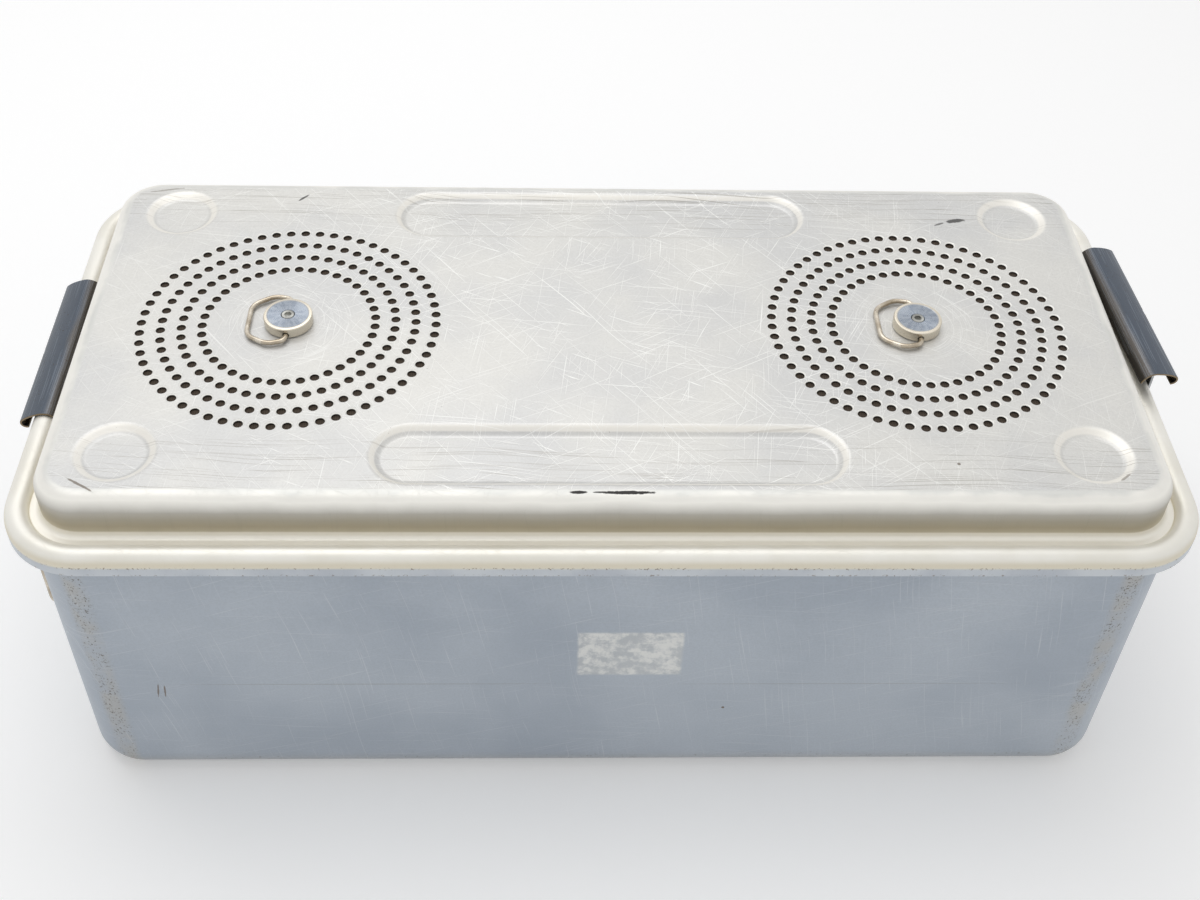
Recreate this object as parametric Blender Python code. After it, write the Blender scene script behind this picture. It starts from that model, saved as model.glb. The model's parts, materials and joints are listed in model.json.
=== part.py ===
"""Sterilization container for instruments, modelled piece by piece in metres.

The base rests on Z = 0 and the container's length runs along X.
Heights on the lid and the tub's mouth are measured down from the lid's flat top, as drops.
Distances "in" are measured from the outer face of the lid's rolled rim towards the middle.
"""
import math

import bmesh
import bpy
from mathutils import Matrix, Vector

# Whole container
RIM_LENGTH = 0.600
RIM_WIDTH = 0.297
TOTAL_HEIGHT = 0.2195
RIM_CORNER = 0.042
CORNER_STEPS = 5

# Running gap between pieces that touch, and how far a cutter runs past its work
SEAT_GAP = 0.0003
OVERRUN = 0.002

# Lid sheet and its pressed rim
LID_SHEET = 0.0015
CREST_DROP = 0.021
BEAD_RADIUS = 0.00625
SKIRT_DROP = 0.034
GROOVE_DEPTH = 0.0045
GROOVE_FILLET = 0.0030
PLATEAU_IN = 0.0180
SHOULDER_RADIUS = 0.009

# Pressed dimples and finger recesses in the lid, and the recesses' distance from the retainers
DIMPLE_FROM_END = 0.0565
DIMPLE_FROM_SIDE = 0.0512
DIMPLE_RADIUS = 0.0190
DIMPLE_DEPTH = 0.0030
RECESS_FROM_SIDE = 0.0505
RECESS_FROM_RETAINER = 0.0076
RECESS_HALF_WIDTH = 0.0195
RECESS_DEPTH = 0.0040
RECESS_SLOPE = 0.0035

# Vent hole rings, which take a share of the retainer's radius
VENT_FROM_END = 0.130
VENT_FIRST_RING_SHARE = 0.4968
VENT_RING_STEP_SHARE = 0.1169
VENT_HOLE_COUNTS = (39, 46, 53, 60)
VENT_HOLE_RADIUS = 0.0025
VENT_HOLE_SIDES = 5

# Tub
TUB_SHEET = 0.0020
TUB_IN = 0.0100
TUB_TAPER = 0.0010
TUB_BASE_RADIUS = 0.0160
FLANGE_IN = 0.0026
FLANGE_LIP_DROP = 0.0335

# Lid seal, a half-round silicone cord in the hollow of the rim
SEAL_FLAT = 0.0010

# Filter stack under each vent group, drawn inwards from the retainer's edge
STACK_FROM_SIDE = 0.0525
STACK_FROM_END = 0.0370
FILTER_SHEET = 0.0005
FILTER_MARGIN = 0.0010
FILTER_SEAL_MARGIN = 0.0020
FILTER_SEAL_WIDTH = 0.0050
FILTER_SEAL_HEIGHT = 0.0025
RETAINER_SHEET = 0.0012
RETAINER_FLAT = 0.0095
RETAINER_SLOPE = 0.0055
RETAINER_DISH = 0.0060
RETAINER_HOLE_RADIUS = 0.0070
RETAINER_HOLE_RING_SHARE = 0.559
RETAINER_HOLE_COUNT = 12

# Turn knob, its stud, screw, washer and lifting ring
KNOB_RADIUS = 0.0130
KNOB_HEIGHT = 0.0060
KNOB_CHAMFER = 0.0009
KNOB_POCKET_RADIUS = 0.0080
KNOB_POCKET_DEPTH = 0.0016
KNOB_SIDES = 24
KNOB_STUD_SHARE = 0.333
STUD_RADIUS = 0.0038
STUD_CLEARANCE = 0.0005
STUD_CORE_RADIUS = 0.0018
BAR_LENGTH = 0.0240
BAR_WIDTH = 0.0050
BAR_HEIGHT = 0.0030
BAR_CLEARANCE = 0.0006
SCREW_RADIUS = 0.00335
SCREW_SHANK_RADIUS = 0.0015
SCREW_LENGTH = 0.0070
SCREW_SOCKET_RADIUS = 0.0023
SCREW_SOCKET_DEPTH = 0.0014
SCREW_SOCKET_SIDES = 6
SCREW_LAND_SHARE = 0.167
SCREW_HEAD_SHARE = 0.667
WASHER_INNER = 0.0050
WASHER_OUTER = 0.0076
WASHER_SHEET = 0.0004
WASHER_WAVE = 0.0003
WASHER_WAVES = 4
RING_WIRE = 0.00135
RING_REACH = 0.0212
RING_SHOULDER = 0.0172
RING_BEND_RADIUS = 0.0040
RING_BULGE_OUT = 0.0095
RING_HALF_WIDTH = 0.0194
RING_BULGE_RADIUS = 0.0100
RING_BOW_HALF_WIDTH = 0.0125
RING_BOW_RADIUS = 0.0090
RING_BORE = 0.0017
KNOB_BORE_SIDES = 8
RING_PIN_LENGTH = 0.0042
RING_AXIS_HEIGHT = 0.0024

# Latch hooks, one on each short side
LATCH_Y = (0.004, 0.026)
HOOK_LENGTH = 0.110
HOOK_SHEET = 0.0012
HOOK_GAP = 0.0006
HOOK_LIP = 0.0026
HOOK_ARCH_ANGLES = (140, 125, 110, 95, 80, 64, 48)
HOOK_CURL_ANGLES = (75, 50, 25, 0, -30, -60, -85, -110)
PIVOT_OUT = 0.0036
PIVOT_DROP = 0.0265
PIVOT_RADIUS = 0.0015
PIVOT_CLEARANCE = 0.0005
PIVOT_HALF_LENGTH = 0.0070
STEM_RADIUS = 0.0010
STEM_SLOT_LENGTH = 0.0027
STEM_SLOT_HALF = 0.0014
STEM_FOOT_HALF = 0.0040
STEM_FOOT_GAP = 0.0013
STEM_FOOT_RADIUS = 0.0008
HOOK_NOTCH_HALF = 0.0022
LINK_SHEET = 0.0012
LINK_OUT = 0.0004
LINK_TOP_DROP = 0.0320
LINK_JOG_TOP_DROP = 0.0495
LINK_JOG_HEIGHT = 0.0060
LINK_FOOT_ROOM = 0.0100
LINK_INNER_IN = 0.0056
LINK_SLOT_HALF = 0.0055
LINK_SLOT_TOP_DROP = 0.0615
TAB_HALF_WIDTH = 0.0065
TAB_REACH = 0.0069
GUIDE_SHEET = 0.0012
GUIDE_TOP_DROP = 0.0575
GUIDE_HEIGHT = 0.0500
GUIDE_SIDE_GAP = 0.0010
GUIDE_DEPTH = 0.0082
GUIDE_LIP = 0.0060
GUIDE_TAB_HALF = 0.0050
GUIDE_TAB_RISE = 0.0080
GUIDE_FROM_LUG = 0.0068
LATCH_TRAVEL = 0.014
HOOK_TILT = math.radians(12.0)
HOOK_YAW = math.radians(3.5)
SPRING_RADIUS = 0.0021
SPRING_WIRE = 0.0004
SPRING_TURNS = 7
SPRING_POINTS_PER_TURN = 8

# Carrying handles, one on each short side
HANDLE_FROM_CORNER = 0.0185
HANDLE_PIVOT_IN = 0.0032
HANDLE_PIVOT_DROP = 0.0560
HANDLE_WIRE = 0.0025
HANDLE_BEND = 0.0100
HANDLE_EYE_BEND = 0.0035
HANDLE_DROP = 0.0640
HANDLE_PIN = 0.0080
HANDLE_ARM_OUT = 0.0090
GRIP_RADIUS = 0.0060
GRIP_LENGTH = 0.100
GRIP_CLEARANCE = 0.0003
LUG_BARREL_RADIUS = 0.0042
LUG_BARREL_LENGTH = 0.0100
LUG_BARREL_PROUD = 0.0003
LUG_CLEARANCE = 0.0003
LUG_PLATE_HEIGHT = 0.0260
LUG_PLATE_WIDTH = 0.0160
LUG_SHEET = 0.0015
LUG_RIVET_EDGE = 0.0050

# Rivets
RIVET_SHANK = 0.0016
RIVET_HOLE = 0.0019
RIVET_HEAD = 0.0032
RIVET_DOME = 0.0014
RIVET_CROWN_SHARE = 0.55
RIVET_SIDES = 6
GUIDE_RIVET_EDGE = 0.0100

# Round shapes
ROUND_SIDES = 20

# Levels and half sizes that follow from the sizes above
LID_TOP = TOTAL_HEIGHT
HALF_LENGTH = RIM_LENGTH / 2
HALF_WIDTH = RIM_WIDTH / 2
BEAD_CENTRE_LEVEL = LID_TOP - CREST_DROP - BEAD_RADIUS
GROOVE_LEVEL = LID_TOP - CREST_DROP - GROOVE_DEPTH
SKIRT_LEVEL = LID_TOP - SKIRT_DROP
SEAL_BOTTOM = BEAD_CENTRE_LEVEL - SEAL_FLAT
FLANGE_LEVEL = SEAL_BOTTOM - SEAT_GAP
UNDERSIDE = LID_TOP - LID_SHEET

# The filter stack fills the room between its middle and the nearer side of the lid
VENT_X = HALF_LENGTH - VENT_FROM_END
RETAINER_RADIUS = min(HALF_WIDTH - STACK_FROM_SIDE, VENT_FROM_END - STACK_FROM_END)
RETAINER_STEP_OUTER = RETAINER_RADIUS - RETAINER_FLAT
RETAINER_STEP_INNER = RETAINER_STEP_OUTER - RETAINER_SLOPE
RETAINER_HOLE_RING = RETAINER_RADIUS * RETAINER_HOLE_RING_SHARE
FILTER_RADIUS = RETAINER_RADIUS - FILTER_MARGIN
FILTER_SEAL_OUTER = RETAINER_RADIUS - FILTER_SEAL_MARGIN
FILTER_SEAL_INNER = FILTER_SEAL_OUTER - FILTER_SEAL_WIDTH
VENT_FIRST_RING = RETAINER_RADIUS * VENT_FIRST_RING_SHARE
VENT_RING_STEP = RETAINER_RADIUS * VENT_RING_STEP_SHARE

# Each recess is as long as the retainers on both sides of it allow
DIMPLE_X = HALF_LENGTH - DIMPLE_FROM_END
DIMPLE_Y = HALF_WIDTH - DIMPLE_FROM_SIDE
RECESS_Y = HALF_WIDTH - RECESS_FROM_SIDE
RECESS_REACH = RETAINER_RADIUS + RECESS_FROM_RETAINER + RECESS_HALF_WIDTH + LID_SHEET
RECESS_KEPT_OFF = math.sqrt(max(RECESS_REACH ** 2 - RECESS_Y ** 2, 0.0))
RECESS_HALF_LENGTH = RECESS_HALF_WIDTH + VENT_X - RECESS_KEPT_OFF

# The handle stands next to the rim's corner and the latch fits between its two lugs
HANDLE_PIVOT_Y = HALF_WIDTH - RIM_CORNER - HANDLE_FROM_CORNER
GUIDE_OUTSIDE = HANDLE_PIVOT_Y - LUG_PLATE_WIDTH / 2 - GUIDE_FROM_LUG - max(LATCH_Y)
LINK_WIDTH = 2 * (GUIDE_OUTSIDE - GUIDE_SHEET - GUIDE_SIDE_GAP)
GUIDE_BOTTOM_DROP = GUIDE_TOP_DROP + GUIDE_HEIGHT
GUIDE_TAB_DROP = GUIDE_BOTTOM_DROP - GUIDE_TAB_RISE
LINK_BOTTOM_DROP = GUIDE_BOTTOM_DROP - LINK_FOOT_ROOM


def finish(thing, name, colour, roughness, metallic):
    """Give an object its own Principled material."""
    material = bpy.data.materials.new(name)
    material.use_nodes = True
    shader = material.node_tree.nodes["Principled BSDF"]
    shader.inputs["Base Color"].default_value = (*colour, 1.0)
    shader.inputs["Roughness"].default_value = roughness
    shader.inputs["Metallic"].default_value = metallic
    material.diffuse_color = (*colour, 1.0)
    thing.data.materials.clear()
    thing.data.materials.append(material)
    return thing


def aluminium(thing):
    return finish(thing, thing.name + "_aluminium", (0.72, 0.71, 0.69), 0.45, 0.8)


def blue_aluminium(thing):
    return finish(thing, thing.name + "_aluminium", (0.36, 0.42, 0.46), 0.5, 0.6)


def steel(thing):
    return finish(thing, thing.name + "_steel", (0.62, 0.63, 0.64), 0.3, 1.0)


def dark_steel(thing):
    return finish(thing, thing.name + "_dark_steel", (0.14, 0.17, 0.20), 0.35, 0.9)


def silicone(thing):
    return finish(thing, thing.name + "_silicone", (0.55, 0.20, 0.12), 0.6, 0.0)


def filter_paper(thing):
    return finish(thing, thing.name + "_filter_paper", (0.06, 0.055, 0.05), 0.9, 0.0)


def grip_plastic(thing):
    return finish(thing, thing.name + "_grip_plastic", (0.05, 0.05, 0.055), 0.55, 0.0)


def place(name, mesh_work):
    """Turn a bmesh into a linked object with outward faces."""
    bmesh.ops.recalc_face_normals(mesh_work, faces=mesh_work.faces)
    mesh = bpy.data.meshes.new(name)
    mesh_work.to_mesh(mesh)
    mesh_work.free()
    thing = bpy.data.objects.new(name, mesh)
    bpy.context.collection.objects.link(thing)
    return thing


def as_cutter(thing):
    thing.hide_render = True
    thing.display_type = "WIRE"
    return thing


def boolean(thing, tool, operation):
    """Join a tool to an object, or cut it away, with the exact solver."""
    as_cutter(tool)
    step = thing.modifiers.new(operation.lower(), "BOOLEAN")
    step.operation = operation
    step.solver = "EXACT"
    step.object = tool
    return thing


def set_origin(thing, point):
    """Move an object's origin to a point without moving its shape."""
    point = Vector(point)
    thing.data.transform(Matrix.Translation(thing.location - point))
    thing.location = point
    return thing


def hang(name, point, pieces):
    """Hang pieces, with the tools that shape them, from an empty on their joint's axis."""
    holder = bpy.data.objects.new(name, None)
    bpy.context.collection.objects.link(holder)
    holder.location = point
    for piece in pieces:
        for thing in [piece] + [step.object for step in piece.modifiers]:
            thing.parent = holder
            thing.matrix_parent_inverse = Matrix.Translation(-point)
    return holder


def smooth(thing, angle=math.radians(35.0)):
    thing.data.shade_smooth()
    thing.data.set_sharp_from_angle(angle=angle)
    return thing


def arc(centre_in, centre_level, radius, start, end, steps):
    """Points on an arc of a section, with angles measured from straight in, in degrees."""
    points = []
    for step in range(steps + 1):
        angle = math.radians(start + (end - start) * step / steps)
        points.append((centre_in + radius * math.cos(angle), centre_level + radius * math.sin(angle)))
    return points


def rounded_loop(inset, level):
    """A rounded rectangle round the container, a distance in from the rim's outer face."""
    radius = RIM_CORNER - inset
    half_x = HALF_LENGTH - inset
    half_y = HALF_WIDTH - inset
    points = []
    for quarter, (sign_x, sign_y) in enumerate(((1, 1), (-1, 1), (-1, -1), (1, -1))):
        for step in range(CORNER_STEPS + 1):
            angle = math.radians(90 * (quarter + step / CORNER_STEPS))
            x = sign_x * (half_x - radius) + radius * math.cos(angle)
            y = sign_y * (half_y - radius) + radius * math.sin(angle)
            points.append((x, y, level))
    return points


def loft(name, section, capped):
    """Carry a section round the container; its ends are filled, or it is a closed ring."""
    work = bmesh.new()
    loops = [[work.verts.new(p) for p in rounded_loop(inset, level)] for inset, level in section]
    pairs = list(zip(loops, loops[1:]))
    if not capped:
        pairs.append((loops[-1], loops[0]))
    for lower, upper in pairs:
        count = len(lower)
        for i in range(count):
            work.faces.new((lower[i], lower[(i + 1) % count], upper[(i + 1) % count], upper[i]))
    if capped:
        work.faces.new(loops[0])
        work.faces.new(reversed(loops[-1]))
    return smooth(place(name, work))


def turned(name, profile, centre, sides=ROUND_SIDES):
    """A closed turned shape: a ring of (radius, level) points, or one that ends on the axis."""
    work = bmesh.new()
    rings = []
    for radius, level in profile:
        if radius == 0:
            rings.append([work.verts.new((centre[0], centre[1], level))])
            continue
        ring = []
        for i in range(sides):
            angle = 2 * math.pi * i / sides
            x = centre[0] + radius * math.cos(angle)
            y = centre[1] + radius * math.sin(angle)
            ring.append(work.verts.new((x, y, level)))
        rings.append(ring)
    on_axis = len(rings[0]) == 1
    pairs = list(zip(rings, rings[1:]))
    if not on_axis:
        pairs.append((rings[-1], rings[0]))
    for inner, outer in pairs:
        for i in range(sides):
            j = (i + 1) % sides
            corners = [inner[i % len(inner)], outer[i % len(outer)]]
            if len(outer) > 1:
                corners.append(outer[j])
            if len(inner) > 1:
                corners.append(inner[j])
            work.faces.new(corners)
    return smooth(place(name, work))


def block(name, low, high):
    """A box between two corners."""
    work = bmesh.new()
    bmesh.ops.create_cube(work, size=1.0)
    size = [high[i] - low[i] for i in range(3)]
    middle = [(high[i] + low[i]) / 2 for i in range(3)]
    for vert in work.verts:
        vert.co = Vector([middle[i] + vert.co[i] * size[i] for i in range(3)])
    return place(name, work)


def prisms(name, centres, radius, low, high, sides):
    """Upright prisms in one object, such as a pattern of hole cutters."""
    work = bmesh.new()
    for x, y, turn in centres:
        rings = []
        for level in (low, high):
            ring = []
            for i in range(sides):
                angle = turn + 2 * math.pi * i / sides
                reach, across = radius * math.cos(angle), radius * math.sin(angle)
                ring.append(work.verts.new((x + reach, y + across, level)))
            rings.append(ring)
        work.faces.new(reversed(rings[0]))
        work.faces.new(rings[1])
        for i in range(sides):
            j = (i + 1) % sides
            work.faces.new((rings[0][i], rings[0][j], rings[1][j], rings[1][i]))
    return place(name, work)


def stadium(centre_x, centre_y, half_length, half_width, level, steps=8):
    """A loop with straight sides and round ends; a dimple has no straight part."""
    straight = half_length - half_width
    points = []
    for side, start in ((1, -90), (-1, 90)):
        for step in range(steps + 1):
            angle = math.radians(start + 180 * step / steps)
            x = centre_x + side * straight + half_width * math.cos(angle)
            points.append((x, centre_y + half_width * math.sin(angle), level))
    if straight == 0:
        points = points[:steps] + points[steps + 1:-1]
    return points


def pressed_form(name, centres, half_length, half_width, depth, above, inset):
    """Solid plugs of a pressed hollow: wide at the lid's face, narrow at its floor."""
    work = bmesh.new()
    for x, y in centres:
        loops = []
        for level, shrink in ((LID_TOP - depth - inset, RECESS_SLOPE), (LID_TOP - inset, 0), (above, 0)):
            loop = stadium(x, y, half_length - shrink + inset, half_width - shrink + inset, level)
            loops.append([work.verts.new(p) for p in loop])
        work.faces.new(reversed(loops[0]))
        work.faces.new(loops[-1])
        count = len(loops[0])
        for lower, upper in zip(loops, loops[1:]):
            for i in range(count):
                work.faces.new((lower[i], lower[(i + 1) % count], upper[(i + 1) % count], upper[i]))
    return place(name, work)


def rounded_path(corners, steps=4):
    """Points along straight runs whose corners are rounded; a corner is (point, radius)."""
    path = [Vector(corners[0][0])]
    for (before, _), (point, radius), (after, _) in zip(corners, corners[1:], corners[2:]):
        point = Vector(point)
        back = (Vector(before) - point).normalized()
        ahead = (Vector(after) - point).normalized()
        half_turn = back.angle(ahead) / 2
        reach = radius / math.tan(half_turn)
        start = point + back * reach
        centre = point + (back + ahead).normalized() * radius / math.sin(half_turn)
        axis = back.cross(ahead).normalized()
        sweep = 2 * half_turn - math.pi
        for step in range(steps + 1):
            path.append(centre + Matrix.Rotation(sweep * step / steps, 3, axis) @ (start - centre))
    path.append(Vector(corners[-1][0]))
    return path


def tube(name, points, radius, resolution):
    """A wire along a path, with filled ends."""
    curve = bpy.data.curves.new(name, "CURVE")
    curve.dimensions = "3D"
    curve.bevel_depth = radius
    curve.bevel_resolution = resolution
    curve.use_fill_caps = True
    spline = curve.splines.new("POLY")
    spline.points.add(len(points) - 1)
    for knot, point in zip(spline.points, points):
        knot.co = (*point, 1.0)
        knot.radius = 1.0
    thing = bpy.data.objects.new(name, curve)
    bpy.context.collection.objects.link(thing)
    return thing


def outward(side, out, y, level):
    """A point at a short side, a distance out from the rim's outer face."""
    return (side * (HALF_LENGTH + out), y, level)


def side_block(name, side, out_low, out_high, y_low, y_high, low, high):
    ends = sorted((side * (HALF_LENGTH + out_low), side * (HALF_LENGTH + out_high)))
    return block(name, (ends[0], y_low, low), (ends[1], y_high, high))


def folded_sheet(name, side, centreline, sheet, y_low, y_high):
    """A sheet bent along a section line of (out, level) points, as wide as the Y span."""
    work = bmesh.new()
    normals = []
    count = len(centreline)
    for i in range(count):
        here = centreline[max(i - 1, 0)]
        there = centreline[min(i + 1, count - 1)]
        run = math.hypot(there[0] - here[0], there[1] - here[1])
        normals.append(((here[1] - there[1]) / run, (there[0] - here[0]) / run))
    walls = []
    for y in (y_low, y_high):
        for half in (sheet / 2, -sheet / 2):
            row = []
            for (out, level), (normal_out, normal_up) in zip(centreline, normals):
                shifted = outward(side, out + normal_out * half, y, level + normal_up * half)
                row.append(work.verts.new(shifted))
            walls.append(row)
    near_top, near_bottom, far_top, far_bottom = walls
    for i in range(count - 1):
        work.faces.new((near_top[i], near_top[i + 1], far_top[i + 1], far_top[i]))
        work.faces.new((near_bottom[i], far_bottom[i], far_bottom[i + 1], near_bottom[i + 1]))
        work.faces.new((near_top[i], near_bottom[i], near_bottom[i + 1], near_top[i + 1]))
        work.faces.new((far_top[i], far_top[i + 1], far_bottom[i + 1], far_bottom[i]))
    for i in (0, count - 1):
        work.faces.new((near_top[i], far_top[i], far_bottom[i], near_bottom[i]))
    return place(name, work)


def cross_rod(name, side, out, level, y_low, y_high, radius, sides):
    """A rod along Y at a short side."""
    work = bmesh.new()
    rings = []
    for y in (y_low, y_high):
        ring = []
        for i in range(sides):
            angle = 2 * math.pi * i / sides
            ring.append(work.verts.new(outward(side, out + radius * math.cos(angle), y,
                                               level + radius * math.sin(angle))))
        rings.append(ring)
    work.faces.new(rings[0])
    work.faces.new(reversed(rings[1]))
    for i in range(sides):
        j = (i + 1) % sides
        work.faces.new((rings[0][i], rings[1][i], rings[1][j], rings[0][j]))
    return smooth(place(name, work))


def vent_centres():
    """Each vent hole's place: four rings round each knob, one group turned half round."""
    places = []
    for side, start in ((-1, math.pi / 2), (1, -math.pi / 2)):
        for index, count in enumerate(VENT_HOLE_COUNTS):
            ring = VENT_FIRST_RING + VENT_RING_STEP * index
            for i in range(count):
                angle = start + 2 * math.pi * i / count
                places.append((side * VENT_X + ring * math.cos(angle), ring * math.sin(angle), angle))
    return places


def make_lid():
    bead_in = BEAD_RADIUS
    inner_bead = BEAD_RADIUS - LID_SHEET
    valley = GROOVE_FILLET
    wall_in = PLATEAU_IN
    shoulder = SHOULDER_RADIUS
    outer = [(0.0, SKIRT_LEVEL)]
    outer += arc(bead_in, BEAD_CENTRE_LEVEL, BEAD_RADIUS, 180, 15, 7)
    outer += arc(wall_in - valley, GROOVE_LEVEL + valley, valley, -90, 0, 3)
    outer += arc(wall_in + shoulder, LID_TOP - shoulder, shoulder, 180, 90, 5)
    under = arc(wall_in + shoulder, LID_TOP - shoulder, shoulder - LID_SHEET, 90, 180, 3)
    under += [(wall_in + LID_SHEET, GROOVE_LEVEL + valley), (wall_in - valley, GROOVE_LEVEL - LID_SHEET)]
    under += arc(bead_in, BEAD_CENTRE_LEVEL, inner_bead, 5, 180, 5)
    under += [(LID_SHEET, SKIRT_LEVEL)]
    section = list(reversed(outer)) + list(reversed(under))
    lid = loft("lid", section, capped=True)
    corners = [(x * DIMPLE_X, y * DIMPLE_Y) for x in (-1, 1) for y in (-1, 1)]
    ends = [(0.0, RECESS_Y), (0.0, -RECESS_Y)]
    forms = (("dimple", corners, DIMPLE_RADIUS, DIMPLE_RADIUS, DIMPLE_DEPTH),
             ("recess", ends, RECESS_HALF_LENGTH, RECESS_HALF_WIDTH, RECESS_DEPTH))
    for name, centres, half_length, half_width, depth in forms:
        cup = pressed_form("lid_%s_cup" % name, centres, half_length, half_width, depth,
                           LID_TOP - LID_SHEET / 2, LID_SHEET)
        boolean(lid, cup, "UNION")
    for name, centres, half_length, half_width, depth in forms:
        hollow = pressed_form("lid_%s_hollow" % name, centres, half_length, half_width, depth,
                              LID_TOP + OVERRUN, 0)
        boolean(lid, hollow, "DIFFERENCE")
    bottom = UNDERSIDE - OVERRUN
    vents = prisms("lid_vent_cutter", vent_centres(), VENT_HOLE_RADIUS, bottom, LID_TOP + OVERRUN,
                   VENT_HOLE_SIDES)
    boolean(lid, vents, "DIFFERENCE")
    bores = prisms("lid_stud_cutter", [(-VENT_X, 0, 0), (VENT_X, 0, 0)], STUD_RADIUS + STUD_CLEARANCE,
                   bottom, LID_TOP + OVERRUN, ROUND_SIDES)
    boolean(lid, bores, "DIFFERENCE")
    return aluminium(lid)


def make_lid_seal():
    """Half-round cord that sits in the rim's hollow and rests on the tub's flange."""
    radius = BEAD_RADIUS - LID_SHEET - SEAT_GAP
    section = arc(BEAD_RADIUS, BEAD_CENTRE_LEVEL, radius, 180, 0, 6)
    section += [(BEAD_RADIUS + radius, SEAL_BOTTOM), (BEAD_RADIUS - radius, SEAL_BOTTOM)]
    return silicone(loft("lid_seal", section, capped=False))


def cross_turned(name, side, y, level, profile, sides):
    """A shape turned about an axis along X at a short side, from (out, radius) points."""
    work = bmesh.new()
    rings = []
    for out, radius in profile:
        ring = []
        for i in range(sides):
            angle = 2 * math.pi * i / sides
            ring.append(work.verts.new(outward(side, out, y + radius * math.cos(angle),
                                               level + radius * math.sin(angle))))
        rings.append(ring)
    work.faces.new(rings[0])
    work.faces.new(reversed(rings[-1]))
    for near, far in zip(rings, rings[1:]):
        for i in range(sides):
            j = (i + 1) % sides
            work.faces.new((near[i], far[i], far[j], near[j]))
    return place(name, work)


def cross_bore(name, side, y, level, radius, out_low, out_high):
    """A cutter for a rivet's hole through sheets at a short side."""
    return cross_turned(name, side, y, level, ((out_low, radius), (out_high, radius)), RIVET_SIDES)


def wall_in(level):
    """How far in the tub's outer wall is at a level."""
    return TUB_IN + TUB_TAPER * (FLANGE_LEVEL - level) / FLANGE_LEVEL


def side_rivet_places(side):
    """Rivets through a short side, as (y, level, sheet under the outer head, what they hold)."""
    y = LATCH_Y[0] if side < 0 else LATCH_Y[1]
    reach = LINK_WIDTH / 2 - GUIDE_RIVET_EDGE
    top = LID_TOP - GUIDE_TOP_DROP - GUIDE_RIVET_EDGE
    bottom = LID_TOP - GUIDE_BOTTOM_DROP + GUIDE_RIVET_EDGE
    places = [(y + sign * reach, level, GUIDE_SHEET, "guide") for sign in (-1, 1) for level in (top, bottom)]
    lug = LID_TOP - HANDLE_PIVOT_DROP - LUG_PLATE_HEIGHT + LUG_RIVET_EDGE
    return places + [(sign * HANDLE_PIVOT_Y, lug, LUG_SHEET, "lug") for sign in (-1, 1)]


def make_tub():
    base = TUB_BASE_RADIUS
    foot_in = wall_in(0.0)
    outer = arc(foot_in + base, base, base, -90, -180, 4)
    outer += [(wall_in(FLANGE_LEVEL), FLANGE_LEVEL - TUB_SHEET)]
    outer += [(FLANGE_IN + TUB_SHEET, FLANGE_LEVEL - TUB_SHEET)]
    outer += [(FLANGE_IN + TUB_SHEET, LID_TOP - FLANGE_LIP_DROP), (FLANGE_IN, LID_TOP - FLANGE_LIP_DROP)]
    inner = [(FLANGE_IN, FLANGE_LEVEL - TUB_SHEET / 2), (FLANGE_IN + TUB_SHEET / 2, FLANGE_LEVEL)]
    inner += [(TUB_IN + TUB_SHEET, FLANGE_LEVEL)]
    inner += arc(foot_in + base, base, base - TUB_SHEET, -180, -90, 4)
    tub = loft("tub", outer + inner, capped=True)
    for side in (-1, 1):
        for index, (y, level, _, _) in enumerate(side_rivet_places(side)):
            hole = cross_bore("tub_rivet_hole_%d_%d" % (side, index), side, y, level, RIVET_HOLE,
                              -TUB_IN - TUB_TAPER - TUB_SHEET - OVERRUN, -TUB_IN + OVERRUN)
            boolean(tub, hole, "DIFFERENCE")
    return blue_aluminium(tub)


def make_rivet(name, side, y, level, sheet):
    """A rivet through the tub's wall and a sheet outside it, with a domed head at each end."""
    inside = -wall_in(level) - TUB_SHEET - SEAT_GAP
    outside = -TUB_IN + SEAT_GAP + sheet + SEAT_GAP
    crown = RIVET_HEAD * RIVET_CROWN_SHARE
    profile = ((inside - RIVET_DOME, crown), (inside, RIVET_HEAD), (inside, RIVET_SHANK),
               (outside, RIVET_SHANK), (outside, RIVET_HEAD), (outside + RIVET_DOME, crown))
    return aluminium(cross_turned(name, side, y, level, profile, RIVET_SIDES * 2))


def make_rivets(prefix, side):
    counts = {}
    for y, level, sheet, carried in side_rivet_places(side):
        counts[carried] = counts.get(carried, 0) + 1
        make_rivet("%s_%s_rivet_%d" % (prefix, carried, counts[carried]), side, y, level, sheet)


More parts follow.
